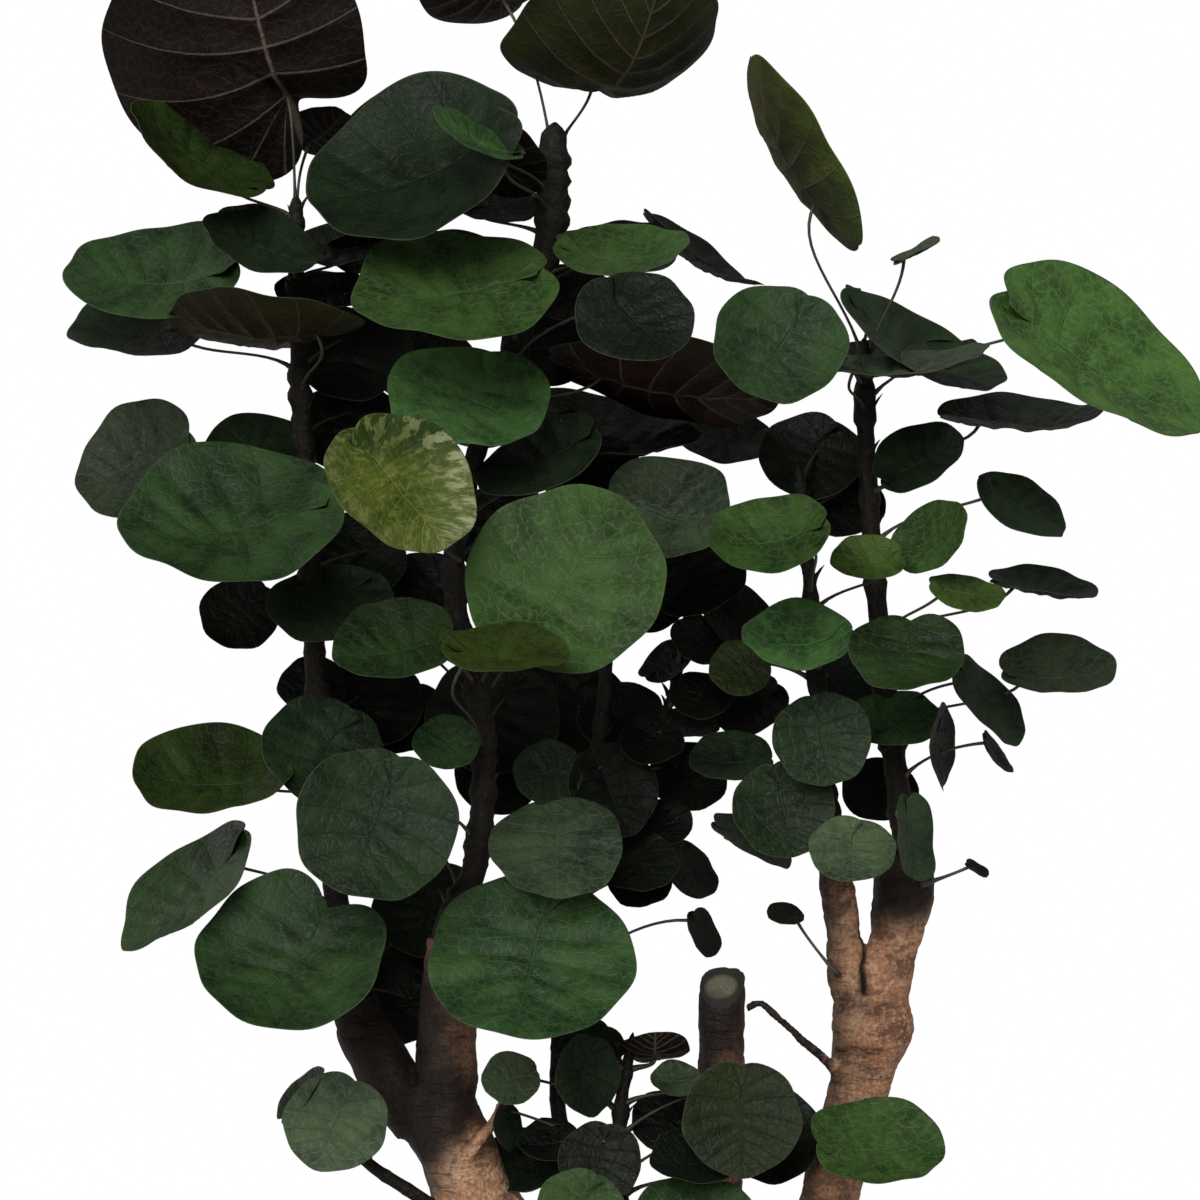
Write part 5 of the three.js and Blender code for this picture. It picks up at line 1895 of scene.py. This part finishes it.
class VeinNet(SharedGroup):
    """Veins of a round blade: midrib, bent side veins from the hub, and the fine net between.

    Its place is in blade radii from the hub, its size is the blade's radius in tenths of a metre.
    """

    name = "vein net"
    inputs = (("Vector", "Blade"), ("Float", "Size"), ("Float", "Turn"), ("Float", "Width"))
    outputs = (("Float", "Ribs"), ("Float", "Net"), ("Float", "Quilt"), ("Float", "Row"))

    @classmethod
    def wire(cls, wiring: Wiring, given: dict[str, object]) -> dict[str, object]:
        """Builds the veins from the blade's flat coordinates."""
        m = wiring.math
        split = wiring.node("SeparateXYZ", {0: given["Blade"]})
        aside = m("ABSOLUTE", split.outputs[0])
        millimetres = m("MULTIPLY", given["Size"], 100.0)
        bend = m("MULTIPLY", m("MULTIPLY", aside, aside), SHAPE.rib_bend)
        level = m("SUBTRACT", split.outputs[1], bend)
        spread = m("MULTIPLY_ADD", aside, SHAPE.rib_gain, 1.0)
        start = m("DIVIDE", m("MULTIPLY_ADD", aside, -SHAPE.rib_start, level), spread)
        turned = m("ARCTAN2", aside, level)
        back = m("MULTIPLY", m("SUBTRACT", SHAPE.back_turn, turned), SHAPE.back_gain)
        count = m("DIVIDE", m("ADD", m("MAXIMUM", start, 0.0), m("MINIMUM", back, 0.0)), SHAPE.rib_spacing)
        gap = m("ABSOLUTE", m("SUBTRACT", m("FRACT", m("ADD", count, 0.5)), 0.5))
        from_rib = m("MULTIPLY", m("MULTIPLY", gap, SHAPE.rib_spacing), m("MULTIPLY", spread, millimetres))
        slim = m("MULTIPLY", m("MULTIPLY_ADD", aside, -0.35, 0.62), given["Width"])
        side = wiring.fade(m("DIVIDE", from_rib, slim), 1.0, 0.25)
        from_middle = m("MULTIPLY", aside, millimetres)
        taper = m("MULTIPLY", m("MULTIPLY_ADD", split.outputs[1], -0.38, 0.95), given["Width"])
        middle = wiring.fade(m("DIVIDE", from_middle, taper), 1.0, 0.3)
        ribs = m("MAXIMUM", m("MULTIPLY", side, 0.8), middle, clamp=True)

        spot = wiring.node("CombineXYZ", {0: split.outputs[0], 1: split.outputs[1], 2: 0.0}).outputs[0]
        apart = m("MULTIPLY", given["Turn"], 370.0)
        shift = wiring.node("CombineXYZ", {0: apart, 1: apart}).outputs[0]
        spot = wiring.moved(wiring.scaled(spot, millimetres), shift)
        soft = {"Vector": spot, "Scale": 0.22, "Detail": 1.0}
        bend = wiring.node("TexNoise", soft, noise_dimensions="2D").outputs["Color"]
        spot = wiring.moved(spot, wiring.scaled(bend, 5.0))
        nets = []
        for scale, width in ((0.17, 0.2), (0.42, 0.16)):
            inputs = {"Vector": spot, "Scale": scale}
            cells = wiring.node("TexVoronoi", inputs, feature="DISTANCE_TO_EDGE", voronoi_dimensions="2D")
            nets.append(wiring.fade(cells.outputs["Distance"], width, 0.0))
        net = m("MAXIMUM", nets[0], m("MULTIPLY", nets[1], 0.4), clamp=True)
        return {"Ribs": ribs, "Net": net, "Quilt": m("MULTIPLY", gap, 2.0), "Row": start}


class Mottle(SharedGroup):
    """Uneven colour: broad clouds and small speckles, by place on the piece."""

    name = "mottle"
    inputs = (("Float", "Cloud Scale"), ("Float", "Speckle Scale"), ("Float", "Shift"))
    outputs = (("Float", "Cloud"), ("Float", "Speckle"))

    @classmethod
    def wire(cls, wiring: Wiring, given: dict[str, object]) -> dict[str, object]:
        """Builds the clouds and speckles."""
        where = wiring.node("TexCoord").outputs["Object"]
        shift = wiring.node("CombineXYZ", {0: given["Shift"], 1: given["Shift"]}).outputs[0]
        spot = wiring.moved(where, shift)
        cloud = wiring.speckle(spot, given["Cloud Scale"], 3.0)
        fine = wiring.speckle(spot, given["Speckle Scale"], 2.0, 0.6)
        return {"Cloud": wiring.fade(cloud, 0.3, 0.7), "Speckle": wiring.fade(fine, 0.34, 0.68)}

    @classmethod
    def spread(cls, wiring: Wiring, cloud: float, speckle: float, shift: object = 0.0) -> Sequence[object]:
        """Returns the clouds and the speckles at scales per metre."""
        return tuple(cls.place(wiring, cloud_scale=cloud, speckle_scale=speckle, shift=shift).outputs)


@dataclass(frozen=True)
class Finish:
    """What every finish shares.

    depth: mm between the bump's lows and highs. specular: how strongly it shines, where that isn't
    the surface shader's own value.
    """

    name: str = ""
    depth: float = 0.0
    specular: float | None = None

    def start(self) -> tuple[bpy.types.Material, Wiring, bpy.types.Node]:
        """Starts the material.

        Returns:
            The material, its wiring and its surface shader.
        """
        material = bpy.data.materials.new(self.name)
        material.use_nodes = True
        shader = material.node_tree.nodes["Principled BSDF"]
        if self.specular is not None:
            shader.inputs["Specular IOR Level"].default_value = self.specular
        return material, Wiring(material.node_tree), shader

    def paint(self, w: Wiring) -> Painted:
        """Wires the finish; each has its own.

        Args:
            w: The material's wiring.

        Returns:
            The colour, the roughness and the height of the bump, about 0 to 1.
        """
        raise NotImplementedError

    def build(self) -> bpy.types.Material:
        """Builds the material.

        Returns:
            The material.
        """
        material, w, shader = self.start()
        colour, roughness, height = self.paint(w)
        w.feed(shader.inputs["Base Color"], colour)
        w.feed(shader.inputs["Roughness"], roughness)
        relief = w.node("Bump", {"Strength": 1.0, "Distance": self.depth * METRE, "Height": height})
        w.feed(shader.inputs["Normal"], relief.outputs["Normal"])
        return material


@dataclass(frozen=True)
class LeafTopFinish(Finish):
    """The satin upper face: dark green, paler sunk veins, a thin pale margin, and painted light and shade."""

    name: str = "leaf_upper_face"
    depth: float = 0.5
    specular: float | None = 0.16
    roughness: float = 0.47
    vein_gain: Colour = (2.9, 2.2, 3.0)
    cream: Colour = (0.33, 0.36, 0.19)
    margin: Colour = (0.075, 0.085, 0.045)

    def paint(self, w: Wiring) -> Painted:
        """Returns the colour, the roughness and the height."""
        tint = w.node("Attribute", attribute_name="tint").outputs["Color"]
        edge, turn, pale, size = w.mark("marks")
        blade = w.node("UVMap", uv_map="blade").outputs["UV"]
        veins = VeinNet.place(w, blade=blade, size=size, turn=turn, width=1.15)
        cloud, speckle = Mottle.spread(w, 44.0, 330.0, turn)
        # Broad clouds darken and lighten the green: partly the leaf's own mottling, partly painted light and
        # shade across the cupped blade.
        mottle_and_shade = w.tinted(tint, (0.34, 0.4, 0.36))
        mottle_and_light = w.tinted(tint, (2.0, 1.72, 1.38))
        pale_tint = w.tinted(tint, self.vein_gain)
        green = w.blend(cloud, mottle_and_shade, mottle_and_light)
        green = w.blend(w.times(speckle, 0.16), green, pale_tint)
        # Painted highlight: the quilted swellings midway between side veins are painted paler.
        pillow_highlight = w.times(veins.outputs["Quilt"], 0.14)
        green = w.blend(pillow_highlight, green, pale_tint)
        ribs = w.times(veins.outputs["Ribs"], w.times(pale, 0.8))
        net = w.times(veins.outputs["Net"], w.times(pale, 0.7))
        green = w.blend(w.math("MAXIMUM", ribs, net), green, pale_tint)
        aside = w.node("SeparateXYZ", {0: blade}).outputs[0]
        flank = w.toward(blade, (-0.87, 0.5, 0.0))
        shade_side = w.toward(blade, (-0.5, -0.87, 0.0))
        gold = w.fade(pale, 0.85, 1.0)
        cream = w.times(gold, w.fade(edge, 0.35, 0.95, 0.2, 1.0))
        cream = w.times(cream, w.fade(flank, 0.3, 1.05, 0.22, 1.0))
        along_ribs = w.node("CombineXYZ", {0: aside, 1: w.times(veins.outputs["Row"], 3.2), 2: turn})
        blotch = w.fade(w.speckle(along_ribs.outputs[0], 4.6, 3.0, 0.6), 0.38, 0.62)
        green = w.blend(w.times(cream, w.line(blotch, 0.8, 0.15)), green, self.cream)
        patch_and_shade = w.times(gold, w.fade(blotch, 0.5, 0.0, 0.0, 0.7))
        patch_and_shade = w.math("MAXIMUM", patch_and_shade, w.times(w.fade(blotch, 0.9, 0.35, 0.35, 1.0), gold))
        # Dark green patches of the yellow leaf, strongest towards its upper side: partly its own variegation,
        # partly painted shade.
        patch_and_shade = w.times(patch_and_shade, w.fade(shade_side, -0.2, 0.3, 0.42, 1.0))
        green = w.blend(patch_and_shade, green, (0.020, 0.040, 0.005))
        green = w.blend(w.fade(edge, 0.98, 1.0, 0.0, 0.5), green, self.margin)
        rough = w.line(cloud, 0.08, w.line(speckle, 0.12, self.roughness - 0.06))
        sunk = w.line(veins.outputs["Ribs"], -0.8, w.times(veins.outputs["Net"], -0.42))
        return green, rough, w.line(speckle, 0.1, sunk)


@dataclass(frozen=True)
class LeafUnderFinish(Finish):
    """The duller underside: purple-brown or olive, with raised pale veins."""

    name: str = "leaf_underside"
    depth: float = 0.7
    specular: float | None = 0.1
    vein: Colour = (0.125, 0.098, 0.078)

    def paint(self, w: Wiring) -> Painted:
        """Returns the colour, the roughness and the height."""
        tint = w.node("Attribute", attribute_name="tint").outputs["Color"]
        edge, turn, pale, size = w.mark("marks")
        blade = w.node("UVMap", uv_map="blade").outputs["UV"]
        veins = VeinNet.place(w, blade=blade, size=size, turn=turn, width=2.0)
        cloud, speckle = Mottle.spread(w, 20.0, 300.0, turn)
        dull = w.tinted(tint, (0.6, 0.66, 0.72))
        warm = w.tinted(tint, (1.6, 1.2, 1.05))
        skin = w.blend(cloud, dull, warm)
        greener = w.times(w.fade(edge, 0.6, 1.0, 0.0, 0.5), cloud)
        skin = w.blend(greener, skin, w.tinted(tint, (1.3, 2.4, 1.1)))
        shown = w.times(pale, w.line(speckle, 0.4, 0.75))
        skin = w.blend(w.times(veins.outputs["Net"], w.times(shown, 0.07)), skin, self.vein)
        skin = w.blend(w.times(veins.outputs["Ribs"], w.times(shown, 0.85)), skin, self.vein)
        rough = w.line(speckle, 0.15, 0.52)
        raised = w.line(veins.outputs["Net"], 0.35, veins.outputs["Ribs"])
        return skin, rough, w.line(speckle, 0.12, raised)


@dataclass(frozen=True)
class StalkFinish(Finish):
    """Leaf stalks: smooth, brown-green, streaked lengthwise, paler towards the blade."""

    name: str = "leaf_stalk"
    depth: float = 0.1

    def paint(self, w: Wiring) -> Painted:
        """Returns the colour, the roughness and the height."""
        along, turn, _, _ = w.mark("marks")
        cloud, speckle = Mottle.spread(w, 60.0, 700.0, turn)
        skin = w.blend(along, (0.016, 0.012, 0.008), (0.045, 0.045, 0.024))
        skin = w.blend(w.times(cloud, 0.6), skin, (0.030, 0.034, 0.015))
        skin = w.blend(w.times(speckle, 0.35), skin, (0.075, 0.062, 0.042))
        rough = w.line(speckle, 0.2, 0.42)
        return skin, rough, speckle


@dataclass(frozen=True)
class StemFinish(Finish):
    """Young stems: near-black brown, partly painted shade, with corky flecks, greener towards the tip."""

    name: str = "young_stem"
    depth: float = 0.35
    specular: float | None = 0.2

    def paint(self, w: Wiring) -> Painted:
        """Returns the colour, the roughness and the height."""
        young, turn, _, _ = w.mark("marks")
        cloud, speckle = Mottle.spread(w, 45.0, 380.0, turn)
        # Painted shade: the stem colours are held near black, partly for the foliage's shade over them.
        skin = w.blend(cloud, (0.0035, 0.0026, 0.0018), (0.012, 0.0085, 0.0055))
        skin = w.blend(w.times(w.fade(young, 0.55, 1.0), 0.55), skin, (0.006, 0.0075, 0.0036))
        flecks = w.fade(speckle, 0.62, 0.9)
        skin = w.blend(w.times(flecks, 0.25), skin, (0.060, 0.043, 0.030))
        rough = w.line(speckle, 0.2, 0.6)
        return skin, rough, w.math("ADD", speckle, cloud)


@dataclass(frozen=True)
class BarkFinish(Finish):
    """Old bark: tan and pinkish brown plates, fissures, rings of old leaf scars, with painted light and
    shade.
    """

    name: str = "old_bark"
    depth: float = 0.8
    specular: float | None = 0.3

    def paint(self, w: Wiring) -> Painted:
        """Returns the colour, the roughness and the height."""
        dark, _, height, _ = w.mark("marks")
        where = w.node("TexCoord").outputs["Object"]
        cloud, speckle = Mottle.spread(w, 30.0, 480.0, 0.3)
        tan = w.blend(cloud, (0.37, 0.172, 0.086), (0.56, 0.325, 0.18))
        upright = w.stretched(where, 1.0, 0.25)
        streaks = w.fade(w.speckle(upright, 130.0, 4.0, 0.6), 0.36, 0.66)
        skin = w.blend(w.times(streaks, 0.45), tan, (0.225, 0.105, 0.062))
        flat = w.stretched(where, 0.22, 1.0)
        rings = w.fade(w.speckle(flat, 300.0, 3.0, 0.6), 0.5, 0.36)
        skin = w.blend(w.times(rings, 0.5), skin, (0.16, 0.074, 0.044))
        # Painted shade: the bark is darker where it sinks, in its fissures and creases.
        skin = w.blend(w.fade(height, 0.46, 0.05, 0.0, 0.75), skin, (0.105, 0.048, 0.028))
        # Painted highlight: raised plates of the bark are painted paler.
        skin = w.blend(w.fade(height, 0.62, 0.95, 0.0, 0.45), skin, (0.58, 0.38, 0.24))
        skin = w.blend(w.times(w.fade(speckle, 0.7, 0.95), 0.3), skin, (0.60, 0.47, 0.34))
        skin = w.blend(w.times(w.fade(speckle, 0.25, 0.05), 0.45), skin, (0.075, 0.036, 0.022))
        # Painted shade: the skin goes near black where the marks say the bark lies in shade.
        shadow = w.math("ADD", dark, w.line(cloud, 0.22, -0.11))
        shaded_skin = w.tinted(skin, (0.02, 0.016, 0.011))
        skin = w.blend(w.fade(shadow, 0.1, 0.9, 0.0, 0.985), skin, shaded_skin)
        rough = w.line(streaks, 0.15, 0.62)
        relief = w.line(streaks, -0.4, w.times(rings, -0.6))
        return skin, rough, w.line(speckle, 0.35, relief)


@dataclass(frozen=True)
class SawnFinish(Finish):
    """The sawn stump: grey weathered wood with growth rings, blackened round its rim."""

    name: str = "sawn_wood"
    depth: float = 0.15
    middle: tuple = (0.031, 0.016, 0.375)

    def paint(self, w: Wiring) -> Painted:
        """Returns the colour, the roughness and the height."""
        where = w.node("TexCoord").outputs["Object"]
        spot = w.moved(where, self.middle, "SUBTRACT")
        bend = w.speckle(where, 160.0, 3.0)
        far = w.node("VectorMath", {0: spot}, operation="LENGTH").outputs["Value"]
        rings = w.math("SINE", w.line(far, 5200.0, w.times(bend, 6.0)))
        wood = w.blend(w.fade(rings, -1.0, 1.0), (0.082, 0.072, 0.044), (0.150, 0.138, 0.092))
        wood = w.blend(w.fade(w.speckle(where, 90.0, 4.0), 0.45, 0.75, 0.0, 0.7), wood, (0.050, 0.042, 0.026))
        wood = w.blend(w.fade(far, 0.0062, 0.0095), wood, (0.012, 0.010, 0.006))
        rough = w.line(bend, 0.2, 0.65)
        return wood, rough, rings


@dataclass(frozen=True)
class GlazeFinish(Finish):
    """Satin grey-brown glaze, breaking paler over edges, with iron specks."""

    name: str = "stoneware_glaze"
    depth: float = 0.25

    def paint(self, w: Wiring) -> Painted:
        """Returns the colour, the roughness and the height."""
        where = w.node("TexCoord").outputs["Object"]
        cloud, speckle = Mottle.spread(w, 14.0, 520.0)
        flat = w.stretched(where, 0.12, 1.0)
        bands = w.fade(w.speckle(flat, 90.0, 3.0), 0.35, 0.65)
        body = w.blend(cloud, (0.060, 0.052, 0.044), (0.105, 0.092, 0.076))
        body = w.blend(w.times(bands, 0.5), body, (0.085, 0.068, 0.050))
        level = w.node("SeparateXYZ", {0: where}).outputs[2]
        lip = w.fade(level, 0.127, 0.1318)
        body = w.blend(w.times(lip, 0.7), body, (0.20, 0.145, 0.095))
        low = w.fade(level, 0.016, 0.006)
        body = w.blend(w.times(low, 0.5), body, (0.035, 0.030, 0.026))
        specks = w.fade(speckle, 0.86, 0.98)
        body = w.blend(w.times(specks, 0.7), body, (0.018, 0.013, 0.010))
        rough = w.line(cloud, 0.14, 0.27)
        return body, rough, w.line(specks, -0.6, w.times(bands, 0.5))


@dataclass(frozen=True)
class ClayFinish(Finish):
    """Bare fired clay on the foot and inside: sandy and matt."""

    name: str = "bare_clay"
    depth: float = 0.25

    def paint(self, w: Wiring) -> Painted:
        """Returns the colour, the roughness and the height."""
        cloud, speckle = Mottle.spread(w, 40.0, 900.0)
        clay = w.blend(cloud, (0.18, 0.115, 0.075), (0.27, 0.185, 0.125))
        clay = w.blend(w.fade(speckle, 0.7, 1.0, 0.0, 0.6), clay, (0.09, 0.055, 0.035))
        rough = w.line(speckle, 0.12, 0.8)
        return clay, rough, speckle


@dataclass(frozen=True)
class EarthFinish(Finish):
    """Damp potting mix and crumbs, each crumb with its own colour."""

    name: str = "potting_mix"
    depth: float = 0.4

    def paint(self, w: Wiring) -> Painted:
        """Returns the colour, the roughness and the height."""
        tint = w.node("Attribute", attribute_name="tint").outputs["Color"]
        cloud, speckle = Mottle.spread(w, 150.0, 1100.0)
        dark = w.tinted(tint, (0.45, 0.42, 0.4))
        light = w.tinted(tint, (1.5, 1.45, 1.4))
        earth = w.blend(speckle, dark, light)
        rough = w.line(cloud, 0.2, 0.75)
        height = w.math("ADD", speckle, w.times(cloud, 1.5))
        return earth, rough, height


@dataclass(frozen=True)
class MossFinish(Finish):
    """Moss: fresh green tips over a dark mat."""

    name: str = "moss"
    depth: float = 0.2

    def paint(self, w: Wiring) -> Painted:
        """Returns the colour, the roughness and the height."""
        tint = w.node("Attribute", attribute_name="tint").outputs["Color"]
        cloud, speckle = Mottle.spread(w, 60.0, 800.0)
        moss = w.blend(cloud, w.tinted(tint, (0.7, 0.75, 0.6)), tint)
        moss = w.blend(w.times(speckle, 0.3), moss, (0.14, 0.17, 0.035))
        rough = w.line(speckle, 0.2, 0.7)
        return moss, rough, speckle


@dataclass(frozen=True)
class FloorFinish(Finish):
    """The plain pale floor, that fades into the white surroundings far from the plant."""

    name: str = "pale_floor"
    specular: float | None = 0.1
    fade_start: float = 0.9
    fade_end: float = 1.95

    def build(self) -> bpy.types.Material:
        """Builds the material.

        Returns:
            The material.
        """
        material, w, shader = self.start()
        where = w.node("TexCoord").outputs["Object"]
        far = w.node("VectorMath", {0: where}, operation="LENGTH").outputs["Value"]
        seen = w.node("LightPath").outputs["Is Camera Ray"]
        shader.inputs["Emission Color"].default_value = (*WHITE, 1.0)
        w.feed(shader.inputs["Emission Strength"], w.times(w.fade(far, self.fade_start, self.fade_end), seen))
        shader.inputs["Base Color"].default_value = (0.74, 0.74, 0.74, 1.0)
        shader.inputs["Roughness"].default_value = 0.9
        return material


# Studio


@dataclass(frozen=True)
class Studio:
    """The pale floor, the soft light and the camera at the picture's viewing angle.

    lamps: name, SUN or AREA, place in metres, strength, and the width of an area in metres or the
    angle of a sun in radians.
    """

    sensor: float = 36.0
    floor_radius: float = 2.0
    floor_sides: int = 96
    world: float = 0.26
    world_tint: Colour = (1.0, 0.985, 0.96)
    aim: Colour = (0.0, 0.0, 0.5)
    lamps: tuple = (
        ("key", "SUN", (-1.0, -2.8, 2.4), 2.75, 0.85),
        ("side", "AREA", (2.2, -1.6, 1.6), 6.0, 1.6),
        ("back", "SUN", (-2.4, 1.7, 1.9), 0.4, 0.6),
    )

    def camera(self) -> None:
        """Places the camera level in front, so that the picture's pixels fall where they were read."""
        data = bpy.data.cameras.new("camera")
        data.sensor_width = self.sensor
        shown = 2 * PICTURE.middle * PICTURE.mm_per_pixel
        data.lens = self.sensor * PICTURE.distance / shown
        data.clip_start, data.clip_end = 0.05, 60.0
        made = placed("camera", data)
        made.location = (PICTURE.x * METRE, -PICTURE.distance * METRE, PICTURE.z * METRE)
        made.rotation_euler = (math.pi / 2, 0.0, 0.0)
        bpy.context.scene.camera = made

    def floor(self) -> None:
        """Lays the floor under the pot."""
        mesh = bpy.data.meshes.new("floor")
        turns = around(self.floor_sides)
        rim = [(self.floor_radius * math.cos(a), self.floor_radius * math.sin(a), 0.0) for a in turns]
        mesh.from_pydata(rim, [], [tuple(range(self.floor_sides))])
        mesh.materials.append(FloorFinish().build())
        placed("floor", mesh)

    def lights(self) -> None:
        """Adds the lamps, pointing at the middle of the plant."""
        for name, kind, place, power, size in self.lamps:
            data = bpy.data.lights.new(name, kind)
            data.energy = power
            setattr(data, "angle" if kind == "SUN" else "size", size)
            made = placed(name, data)
            made.location = place
            made.rotation_euler = (Vector(self.aim) - Vector(place)).to_track_quat("-Z", "Y").to_euler()

    def sky(self) -> None:
        """Sets the even pale surroundings."""
        world = bpy.data.worlds.new("studio")
        world.use_nodes = True
        bpy.context.scene.world = world
        wiring = Wiring(world.node_tree)
        lit = world.node_tree.nodes["Background"]
        lit.inputs[0].default_value = (*self.world_tint, 1.0)
        lit.inputs[1].default_value = self.world
        seen = wiring.node("Background", {0: WHITE, 1: 1.0})
        ray = wiring.node("LightPath").outputs["Is Camera Ray"]
        mixed = wiring.node("MixShader", {0: ray, 1: lit.outputs[0], 2: seen.outputs[0]})
        wiring.feed(world.node_tree.nodes["World Output"].inputs["Surface"], mixed.outputs[0])

    def build(self) -> None:
        """Sets up the whole studio."""
        self.camera()
        self.floor()
        self.sky()
        self.lights()
        view = bpy.context.scene.view_settings
        view.view_transform = "Standard"
        view.look = "None"


def main() -> None:
    """Builds the whole part, piece by piece."""
    logging.basicConfig(level=logging.INFO, format="%(name)s: %(message)s")
    leafy = [finish.build() for finish in (LeafTopFinish(), LeafUnderFinish(), StalkFinish(), StemFinish())]
    Studio().build()
    Pot([GlazeFinish().build(), ClayFinish().build()]).build()
    soil = Soil([EarthFinish().build()])
    soil.build()
    Moss([MossFinish().build()], soil).build()
    Trunk([BarkFinish().build(), SawnFinish().build()]).build()
    Foliage(leafy).build()


if __name__ == "__main__":
    main()
